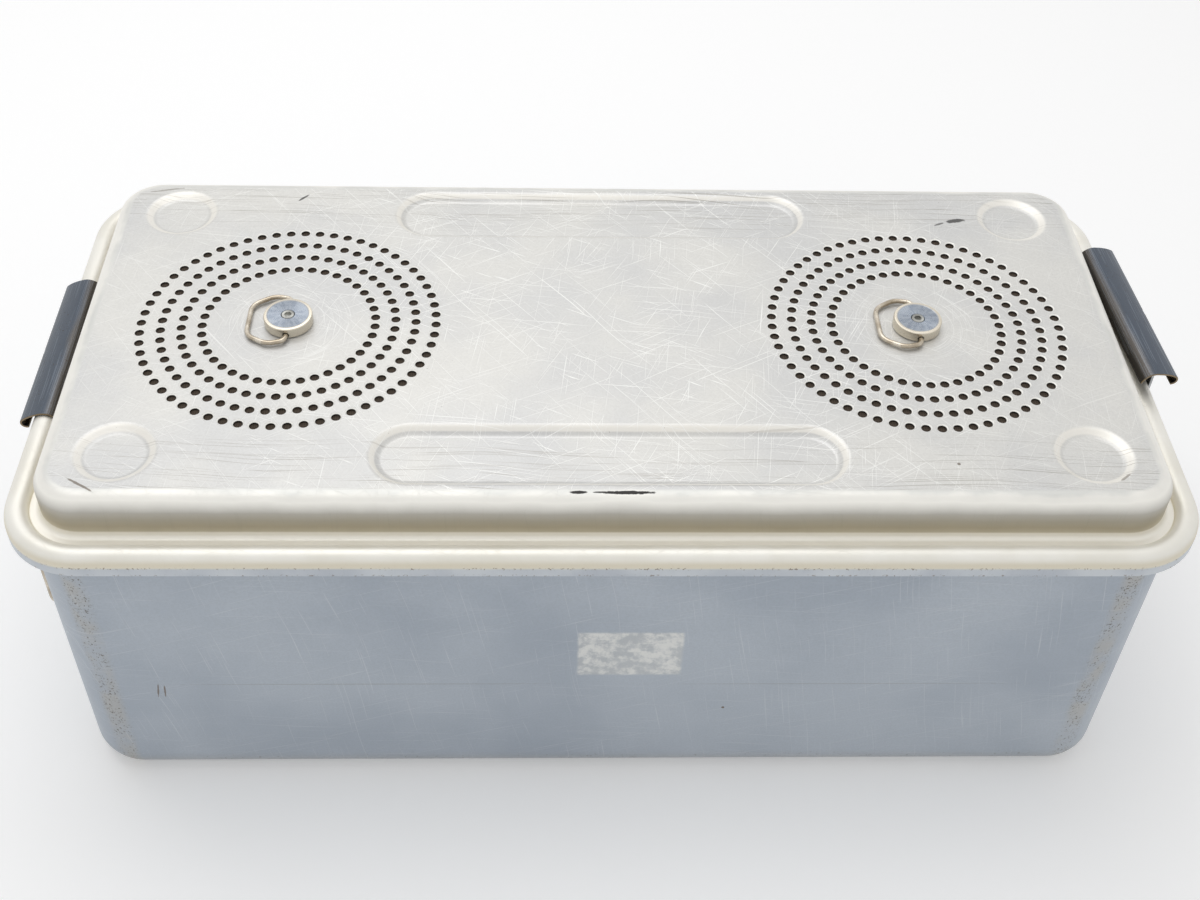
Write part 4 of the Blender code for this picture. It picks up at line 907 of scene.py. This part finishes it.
class Finish(Graph):
    """A Principled material whose colour is laid on coat by coat."""

    def __init__(self, name, roughness, metallic):
        self.material = bpy.data.materials.new(name)
        self.material.use_nodes = True
        super().__init__(self.material.node_tree)
        self.shader = self.tree.nodes["Principled BSDF"].inputs
        self.set(Roughness=roughness, Metallic=metallic)
        self.where = self.add("TexCoord").outputs["Object"]
        self.x, self.y, self.z = self.split(self.where)
        self.colour = None

    def set(self, **values):
        """Give the shader's inputs; an underscore stands for a space."""
        for name, value in values.items():
            self.join(value, self.shader[name.replace("_", " ")])

    def start(self, mask, below, above):
        """The first coat, of two shades."""
        self.colour = self.blend(mask, below, above)
        self.set(Base_Color=self.colour)

    def lay(self, mask, colour, share=1.0):
        """One more coat."""
        self.colour = self.blend(self.times(mask, share), self.colour, colour)
        self.set(Base_Color=self.colour)

    def lay_marks(self, place, marks, colour):
        """Single marks; each is (x, y, turn, half length, half width, share) in mm and degrees."""
        for x, y, turn, half_length, half_width, share in marks:
            mask = self.use(MARK, Place=place, X=x / 1000, Y=y / 1000, Turn=math.radians(turn),
                            Half_length=half_length / 1000, Half_width=half_width / 1000)
            self.lay(mask, colour, share)

    def specks(self, size, rarity, patch):
        return self.use(SPECKS, Place=self.where, Size=size, Rarity=rarity, Patch=patch)

    def band(self, value, middle, half_width, softness):
        return self.use(BAND, Value=value, Middle=middle, Half_width=half_width, Softness=softness)

    def scratches(self, place, sets, seed):
        """The strongest of several sets; a set is (degrees, length in mm, width in mm, rarity)."""
        strongest = None
        for step, (turn, length, width, rarity) in enumerate(sets):
            mask = self.use(STREAKS, Place=place, Turn=math.radians(turn), Length=length / 1000,
                            Width=width / 1000, Rarity=rarity, Seed=seed + step * SEED_STEP)
            strongest = mask if strongest is None else self.calc("MAXIMUM", strongest, mask)
        return strongest

    def wander(self, scale, low, high, detail=3.0):
        """A slow change between none and all."""
        return self.ramp(self.noise(self.where, scale, detail), low, high)

    def vary(self, value, change, base):
        """A base that grows with a value."""
        return self.calc("MULTIPLY_ADD", value, change, base)

    def roughen(self, height, distance):
        """Bump from a height that changes over the surface."""
        bump = self.add("Bump", {"Height": height, "Distance": distance, "Strength": 1.0})
        self.set(Normal=bump.outputs[0])

    def from_knob(self):
        """How far a place lies from the nearer knob's axis, and the place unrolled round it."""
        away = self.calc("SUBTRACT", self.calc("ABSOLUTE", self.x), VENT_X)
        radius = self.reach(away, self.y)
        round_knob = self.times(self.calc("ARCTAN2", self.y, away), RUBBED_RADIUS)
        return radius, self.vector(round_knob, radius)


print("node groups:", [g.name for g in bpy.data.node_groups])

# %% [markdown]
# ## The sheet metals' finishes
# The lid is bright pressed aluminium that has been washed, stacked and scraped for years. The flat
# is covered with fine white scratches in a few favourite directions. The shoulder, the groove's
# bottom and the bead's crest carry a painted highlight, warm and bright, the wall down to the groove
# is painted darker tan as shade, and the skirt keeps the cooler grey of the anodised sheet. The
# holes' walls are painted dark as shade and their rims are rubbed bright; the walls of the pressed
# hollows carry a painted highlight.

# %% Lid finish
LID_SCRATCHES = ((8, 90, 0.7, 0.68), (-28, 60, 0.6, 0.69), (52, 75, 0.6, 0.688), (97, 50, 0.6, 0.695),
                 (-64, 45, 0.5, 0.698), (27, 24, 0.8, 0.705))
LID_HAIRLINES = ((0, 120, 0.7, 0.65), (3, 60, 0.5, 0.672))
LID_WORN_MARKS = ((8, -123.7, 0, 13.5, 1, 1), (-16, -123.6, 0, 4.5, 0.9, 1), (-6, -123.6, 0, 3, 0.5, 0.9),
                  (209.5, 95.2, 10, 6.2, 1.8, 0.85), (199.5, 92, 25, 3.5, 0.8, 0.7),
                  (-174.8, 112.5, 48, 4.2, 0.8, 0.85))
LID_BROWN_MARKS = ((-256, -119.5, -32, 8.5, 0.7, 0.8), (255.3, -112.8, 40, 4, 0.8, 0.6),
                   (-105, -90, 0, 22, 0.5, 0.2), (90, -79, 3, 22, 0.5, 0.18),
                   (-256, 119, 12, 10, 0.7, 0.5), (173.6, -104.1, 0, 1, 1, 0.8))
# Colours down the lid's side by drop: a painted highlight on the shoulder, then painted shade, olive to tan,
# down the wall.
LID_SIDE_LIGHT_AND_SHADE = ((0.0, 216, 216, 212), (0.03, 238, 236, 230), (0.10, 250, 248, 241), (0.20, 226, 224, 217),
                  (0.32, 190, 187, 179), (0.50, 178, 172, 157), (0.66, 184, 175, 153), (0.80, 206, 198, 178))
LID_SKIRT_LINE = BEAD_LEVEL - 0.001
HOLE_EDGE_BLUR = 0.00003


def sheet_finish(name, slow_scale, slow_detail, slow_range, dull, bright, grain_colour):
    """Washed aluminium: two slow shades and a fine dark grain. The fine noise is used again for bump."""
    f = Finish(name, 0.42, 0.35)
    f.start(f.wander(slow_scale, *slow_range, slow_detail), dull, bright)
    fine = f.noise(f.where, 900.0, 2.0, 0.6)
    f.lay(f.ramp(fine, 0.40, 0.62), grain_colour, 0.12)
    return f, fine


def colour_ramp(f, value, stops):
    """A colour ramp; a stop is (place, red, green, blue)."""
    node = f.add("ValToRGB", {0: value})
    elements = node.color_ramp.elements
    elements.remove(elements[-1])
    elements[0].position, elements[0].color = stops[0][0], shade(*stops[0][1:])
    for place_of_stop, *rgb in stops[1:]:
        elements.new(place_of_stop).color = shade(*rgb)
    return node.outputs[0]


def lay_lid_flat(f, inset, drop):
    """Scratches, stains, rubbed hole rims, a painted highlight on the pressed hollows' walls and painted
    shade in the vent holes on the lid's flat; gives the scratches for the roughness.
    """
    # A painted highlight on the walls of the pressed hollows.
    press_wall_highlight = f.times(f.band(drop, 0.0013, 0.0006, 0.0008), f.ramp(inset, 0.029, 0.031))
    f.lay(press_wall_highlight, (253, 249, 240), 0.65)
    f.lay(f.specks(0.0011, 0.745, 0.06), (112, 102, 88), 0.65)
    scratches = f.scratches(f.where, LID_SCRATCHES, 2.0)
    f.lay(f.times(scratches, f.ramp(f.calc("ABSOLUTE", f.x), 0.30, 0.05, 0.30, 0.75)), (250, 250, 247))
    near_edges = f.ramp(f.calc("ABSOLUTE", f.y), 0.080, 0.100)
    f.lay(f.times(f.scratches(f.where, LID_HAIRLINES, 31.0), near_edges), (140, 134, 122), 0.55)
    radius, unrolled = f.from_knob()
    rubbed = f.use(STREAKS, Place=unrolled, Length=0.030, Width=0.0005, Rarity=0.60, Seed=5.0)
    f.lay(f.times(rubbed, f.band(radius, RUBBED_RADIUS, 0.006, 0.006)), (244, 244, 242), 0.45)
    near_vents = f.ramp(radius, 0.087, 0.085)
    f.lay(f.times(f.ramp(drop, HOLE_EDGE_BLUR, 0.00010), near_vents), (252, 251, 246))
    # The holes' walls are painted dark: painted shade inside the vent holes.
    painted_shade_in_holes = f.times(f.ramp(drop, VENT_EDGE - HOLE_EDGE_BLUR, VENT_EDGE + HOLE_EDGE_BLUR), near_vents)
    f.lay(painted_shade_in_holes, (44, 34, 27))
    return scratches, painted_shade_in_holes


def lay_lid_sides(f, inset, drop):
    """The shoulder, wall, groove, bead and skirt, from the flat's edge outwards: painted highlights on the
    shoulder, the groove and the bead's crest, and painted shade down the wall.
    """
    ragged_drop = f.calc("ADD", drop, f.vary(f.noise(f.where, 40.0, 3.0), 0.003, -0.0015))
    # The side bands are painted light and shade: bright on the shoulder, darker olive and tan down the wall.
    sides = colour_ramp(f, f.calc("DIVIDE", ragged_drop, CREST_DROP + BEAD_RADIUS), LID_SIDE_LIGHT_AND_SHADE)
    # A painted highlight along the groove's bottom.
    groove_highlight = f.times(f.ramp(inset, 0.0115, 0.0130), f.ramp(drop, CREST_DROP, CREST_DROP + 0.0015))
    sides = f.blend(groove_highlight, sides, (252, 249, 240))
    # The bead: a painted highlight on its crest, and painted shade, a darker beige, below it.
    bead = f.blend(f.wander(30.0, 0.3, 0.7), (234, 231, 221), (242, 240, 233))
    bead = f.blend(f.ramp(drop, CREST_DROP + 0.0015, CREST_DROP + 0.0050), bead, (226, 219, 200))
    sides = f.blend(f.ramp(inset, 0.0128, 0.0120), sides, bead)
    f.lay(f.ramp(inset, FLAT_START + 0.0005, FLAT_START - 0.0015), sides)
    cool = f.blend(f.wander(26.0, 0.35, 0.65), (186, 192, 200), (204, 209, 214))
    below_bead = f.ramp(f.z, LID_SKIRT_LINE + 0.0008, LID_SKIRT_LINE - 0.0008)
    f.lay(f.times(below_bead, f.ramp(inset, 0.0025, 0.0015)), cool)
    low_edge = f.ramp(f.z, SKIRT_LEVEL + 0.0022, SKIRT_LEVEL + 0.0004)
    chipped = f.calc("MAXIMUM", low_edge, f.band(f.z, LID_SKIRT_LINE, 0.0003, 0.0009))
    f.lay(f.times(chipped, f.specks(0.0016, 0.60, 0.03)), (120, 104, 84), 0.8)


def make_lid_finish():
    f, fine = sheet_finish("worn_lid_aluminium", 14.0, 3.0, (0.35, 0.65), (208, 208, 207), (218, 217, 213),
                           (168, 166, 162))
    inset = f.use(RIM_PLACE, Place=f.where)
    drop = f.calc("SUBTRACT", LID_TOP, f.z)
    scratches, painted_shade_in_holes = lay_lid_flat(f, inset, drop)
    lay_lid_sides(f, inset, drop)
    f.lay_marks(f.where, LID_BROWN_MARKS, (104, 92, 78))
    f.lay_marks(f.where, LID_WORN_MARKS, (26, 22, 20))
    worn = f.vary(scratches, 0.12, f.vary(f.noise(f.where, 30.0, 3.0), 0.24, 0.30))
    f.set(Roughness=f.calc("MAXIMUM", worn, f.times(painted_shade_in_holes, 0.7)), Metallic=f.vary(painted_shade_in_holes, -0.35, 0.35))
    f.roughen(f.vary(scratches, -0.6, fine), 0.00004)
    return f.material


finish(lid, "lid", "lid_aluminium", make_lid_finish(), "lid")
print("lid finish nodes:", len(lid.active_material.node_tree.nodes))

# %% [markdown]
# The tub is the same sheet with a cooler, bluish anodised look, duller than the lid. Handling has
# left tan scuffed bands near both ends of the front, a faint line where trays and shelves rub, a
# scraped patch where a label was, and chips along the base.

# %% Tub finish
TUB_SCRATCHES = ((4, 90, 0.6, 0.69), (-18, 60, 0.5, 0.698), (80, 60, 0.6, 0.698))
TUB_MARKS = ((-238.9, 78, 82, 6, 0.5, 0.75), (-235.4, 77.5, 85, 5.5, 0.5, 0.75),
             (66.3, 60.8, 0, 1, 1, 0.9), (-124.5, 83.2, 0, 101.5, 0.4, 0.25),
             (130, 82.7, 0, 100, 0.4, 0.2))
LABEL_PATCH = (0.0132, 0.1095, 0.0265, 0.0170)
LABEL_BLUR = 0.0022
FRONT_WALL = (-0.125, -0.130)
SCUFF_X = 0.266


def lay_label_patch(f):
    """Pale remains of a label, torn by scraping; gives the patch for the roughness."""
    middle_x, middle_z, half_x, half_z = LABEL_PATCH
    patch = f.times(f.band(f.x, middle_x, half_x, LABEL_BLUR), f.band(f.z, middle_z, half_z, LABEL_BLUR),
                    f.ramp(f.y, *FRONT_WALL))
    torn = f.ramp(f.noise(f.where, 150.0, 5.0, 0.64), 0.38, 0.62)
    f.lay(patch, (206, 206, 202), 0.45)
    f.lay(f.times(patch, torn), (244, 243, 238), 0.60)
    return patch


def make_tub_finish():
    f, fine = sheet_finish("worn_tub_aluminium", 9.0, 4.0, (0.32, 0.68), (163, 172, 183), (180, 188, 197),
                           (140, 144, 150))
    scratches = f.scratches(f.vector(f.calc("ADD", f.x, f.y), f.z), TUB_SCRATCHES, 60.0)
    f.lay(scratches, (214, 218, 220), 0.35)
    scuff = f.band(f.calc("ABSOLUTE", f.x), SCUFF_X, 0.0025, 0.006)
    rubbed = f.times(scuff, f.ramp(f.noise(f.where, 55.0, 3.0), 0.38, 0.62, 0.1, 0.45))
    f.lay(rubbed, (184, 178, 166))
    f.lay(f.times(scuff, f.specks(0.0014, 0.60, 0.02)), (92, 84, 72), 0.8)
    foot = f.ramp(f.z, 0.020, 0.006)
    f.lay(foot, (150, 142, 128), 0.35)
    f.lay(f.times(foot, f.specks(0.0024, 0.66, 0.04)), (96, 84, 70))
    patch = lay_label_patch(f)
    f.lay_marks(f.vector(f.x, f.z), TUB_MARKS, (104, 84, 62))
    worn = f.vary(f.noise(f.where, 24.0, 3.0), 0.22, 0.30)
    f.set(Roughness=f.vary(f.calc("MAXIMUM", patch, rubbed), 0.18, worn))
    f.roughen(f.vary(scratches, -0.6, fine), 0.00004)
    return f.material


finish(tub, "tub", "tub_aluminium", make_tub_finish(), "tub")
print("tub finish nodes:", len(tub.active_material.node_tree.nodes))

# %% [markdown]
# ## The steel pieces' finishes
# The hooks are rolled from steel strip. A painted reflection runs across it: dark blue-grey along
# the middle, browner towards both edges. Its inner face is painted dark as shade, and it is paler
# where the cut edge is rubbed. The knobs are turned, so their fine lines run round the axis, and a
# painted sheen changes their shade in patches round it. Wires, screws and rivets are plain bright
# steel with small stains.


# %% Steel finishes
def make_hook_finish():
    f = Finish("hook_steel_painted_reflection", 0.30, 0.85)
    share = f.add("Attribute", attribute_name="along_section").outputs["Fac"]
    inside = f.add("Attribute", attribute_name="inner_face").outputs["Fac"]
    place_on_strip = f.calc("ADD", share, f.vary(f.noise(f.where, 34.0, 3.0), 0.16, -0.08))
    # A painted reflection across the strip: blue-grey along the middle, browner towards both edges.
    f.start(f.band(place_on_strip, 0.42, 0.14, 0.16), (92, 88, 84), (84, 91, 101))
    drawn = f.use(STREAKS, Place=f.vector(f.y, share), Length=0.050, Width=0.020, Rarity=0.56, Seed=3.0)
    f.lay(drawn, (140, 148, 158), 0.25)
    specks = f.specks(0.0012, 0.66, 0.02)
    f.lay(specks, (70, 56, 44), 0.6)
    # The inner face is painted dark: painted shade under the hook.
    f.lay(f.ramp(inside, 0.6, 0.9), (66, 62, 60))
    f.lay(f.band(inside, 0.5, 0.42, 0.06), (134, 118, 94))
    f.set(Roughness=f.vary(specks, 0.25, f.vary(drawn, 0.08, 0.26)))
    f.roughen(f.noise(f.where, 600.0), 0.00003)
    return f.material


def make_knob_finish():
    f = Finish("turned_knob_steel", 0.30, 0.90)
    radius, unrolled = f.from_knob()
    lines = f.noise(f.vector(radius), 5200.0, 2.0, 0.6)
    # Two shades in patches round the axis: a painted sheen of the turned face.
    f.start(f.ramp(f.noise(unrolled, 160.0, 3.0), 0.35, 0.65), (134, 142, 154), (158, 165, 174))
    f.lay(f.ramp(lines, 0.4, 0.6), (182, 190, 202), 0.3)
    edge = f.ramp(f.calc("SUBTRACT", KNOB_RADIUS, radius), 0.0024, 0.0011)
    f.lay(edge, (214, 206, 190))
    f.lay(f.specks(0.0009, 0.68, 0.01), (96, 84, 70), 0.6)
    turning = f.add("Tangent", direction_type="RADIAL", axis="Z").outputs[0]
    f.set(Roughness=f.vary(lines, 0.16, 0.20), Anisotropic=0.75, Tangent=turning)
    f.roughen(lines, 0.00002)
    return f.material


def make_steel_finish(name, bright, dull, stain, roughness):
    """Plain steel: a bright and a dull shade that wander, with small stains."""
    f = Finish(name, roughness, 0.90)
    wander = f.wander(90.0, 0.36, 0.64)
    f.start(wander, dull, bright)
    f.lay(f.specks(0.0012, 0.67, 0.015), stain, 0.6)
    f.set(Roughness=f.vary(wander, 0.10, roughness))
    f.roughen(f.noise(f.where, 700.0), 0.00002)
    return f.material


hook_finish = make_hook_finish()
knob_finish = make_knob_finish()
wire_finish = make_steel_finish("warm_wire_steel", (212, 204, 190), (168, 156, 138), (90, 74, 56), 0.20)
screw_finish = make_steel_finish("screw_steel", (206, 206, 200), (150, 150, 146), (86, 78, 66), 0.26)
latch_finish = make_steel_finish("latch_steel", (196, 198, 198), (160, 162, 164), (104, 92, 74), 0.32)
rivet_finish = make_steel_finish("rivet_aluminium", (222, 221, 216), (188, 188, 186), (120, 110, 96), 0.36)
retainer_finish = make_steel_finish("retainer_aluminium", (214, 214, 210), (184, 186, 188), (126, 116, 100),
                                    0.38)
print("steel finishes:", wire_finish.name, screw_finish.name, latch_finish.name, retainer_finish.name)

# %% [markdown]
# ## Soft and moulded finishes
# The seals are brown silicone, dusty from washing. The filter is a woven sheet, dark under the
# holes. The grips are moulded black plastic with a fine spark-eroded grain.


# %% Soft and moulded finishes
def make_dull_finish(name, dark, light, roughness, grain, distance):
    """A matt finish of two close shades, with a grain of the given size."""
    f = Finish(name, roughness, 0.0)
    wander = f.wander(60.0, 0.36, 0.64)
    f.start(wander, dark, light)
    f.set(Roughness=f.vary(wander, 0.12, roughness))
    f.roughen(f.noise(f.where, 1.0 / grain), distance)
    return f.material


def make_filter_finish():
    """Threads crossing at right angles, from two waves."""
    f = Finish("woven_filter", 0.90, 0.0)
    inputs = {"Vector": f.where, "Scale": 260.0, "Distortion": 0.6}
    warp, weft = (f.add("TexWave", inputs, bands_direction=way).outputs[1] for way in ("X", "Y"))
    weave = f.calc("MAXIMUM", warp, weft)
    f.start(weave, (44, 38, 34), (78, 66, 54))
    f.roughen(weave, 0.0002)
    return f.material


silicone_finish = make_dull_finish("silicone", (150, 76, 52), (172, 92, 64), 0.50, 0.0008, 0.00005)
grip_finish = make_dull_finish("moulded_grip", (30, 31, 33), (44, 45, 47), 0.48, 0.0005, 0.00006)
filter_finish = make_filter_finish()
print("soft finishes:", silicone_finish.name, grip_finish.name, filter_finish.name)

# %% [markdown]
# ## Giving every piece its place and finish
# Each drawn piece rides on the body it belongs to and takes the place of one imported node,
# which is hidden. The nodes whose imported shape is already right keep it and only take a finish, in
# their material slots. A spring rides on no body: its place is baked into its mesh.

# %% Pieces and nodes
for prefix, side in SIDES:
    finish(knobs[prefix], prefix + "_knob", "knob_steel", knob_finish, prefix + "_knob")
    finish(screws[prefix], prefix + "_knob", "screw_steel", screw_finish, prefix + "_knob_screw")
    finish(rings[prefix], prefix + "_ring", "wire_steel", wire_finish, prefix + "_knob_ring")
    finish(hooks[prefix], prefix + "_hook", "hook_steel", hook_finish, prefix + "_latch_hook")
    finish(bails[prefix], prefix + "_handle", "wire_steel", wire_finish, prefix + "_handle")
    finish(grips[prefix], prefix + "_handle", "grip_plastic", grip_finish, prefix + "_handle_grip")
    dress(springs[prefix], "wire_steel", wire_finish, prefix + "_latch_spring")
    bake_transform(springs[prefix])
for node, rivet in rivets.items():
    finish(rivet, "tub", "rivet_aluminium", rivet_finish, node)

NODE_FINISHES = (("seal", silicone_finish), ("retainer", retainer_finish), ("filter", filter_finish),
                 ("stud", screw_finish), ("washer", screw_finish), ("latch", latch_finish),
                 ("lug", latch_finish))
dressed = 0
for name, node in frame["nodes"].items():
    material = next((choice for word, choice in NODE_FINISHES if word in name), None)
    if material is not None:
        node.material_slots[0].material = material
        dressed += 1
print("nodes dressed as packed:", dressed)

# %% [markdown]
# ## Floor, light and the end
# The container stands on a large pale floor under soft studio light: an even white surround and
# one wide lamp overhead, which leaves only a soft shadow round the base. The camera sees the
# surround as pure white through Light Path, while the object is lit by less than that.

# %% Floor
FLOOR_HALF = 3.0
FLOOR_DROP = 0.0002
floor_work = bmesh.new()
bmesh.ops.create_grid(floor_work, x_segments=1, y_segments=1, size=FLOOR_HALF)
floor = place("floor", floor_work)
floor.location.z = -FLOOR_DROP
floor_finish = Finish("floor", 0.9, 0.0)
floor_finish.set(Base_Color=(0.92, 0.92, 0.92, 1.0), Emission_Color=(1.0, 1.0, 1.0, 1.0),
                 Emission_Strength=0.20)
floor.data.materials.append(floor_finish.material)

# %% World and lamps
WORLD_STRENGTH = 0.55
world = bpy.data.worlds.new("surround")
bpy.context.scene.world = world
world.use_nodes = True
world.node_tree.nodes.clear()
surround = Graph(world.node_tree)
path = surround.add("LightPath").outputs
seen = surround.calc("MAXIMUM", path["Is Camera Ray"], path["Is Glossy Ray"])
seen = surround.calc("MAXIMUM", seen, path["Is Transmission Ray"])
level = surround.calc("MULTIPLY_ADD", seen, 1.0 - WORLD_STRENGTH, WORLD_STRENGTH)
background = surround.add("Background", {"Color": (1.0, 1.0, 1.0, 1.0), "Strength": level})
surround.add("OutputWorld", {0: background.outputs[0]})


def add_lamp(name, place_at, aim_at, size, watts):
    lamp_data = bpy.data.lights.new(name, "AREA")
    lamp_data.shape = "SQUARE"
    lamp_data.size = size
    lamp_data.energy = watts
    lamp = bpy.data.objects.new(name, lamp_data)
    lamp.location = place_at
    lamp.rotation_euler = (Vector(aim_at) - Vector(place_at)).to_track_quat("-Z", "Y").to_euler()
    bpy.context.scene.collection.objects.link(lamp)


add_lamp("overhead", (-0.3, 0.5, 1.9), (0.0, 0.0, 0.1), 1.6, 14.0)
print("world strength:", WORLD_STRENGTH)
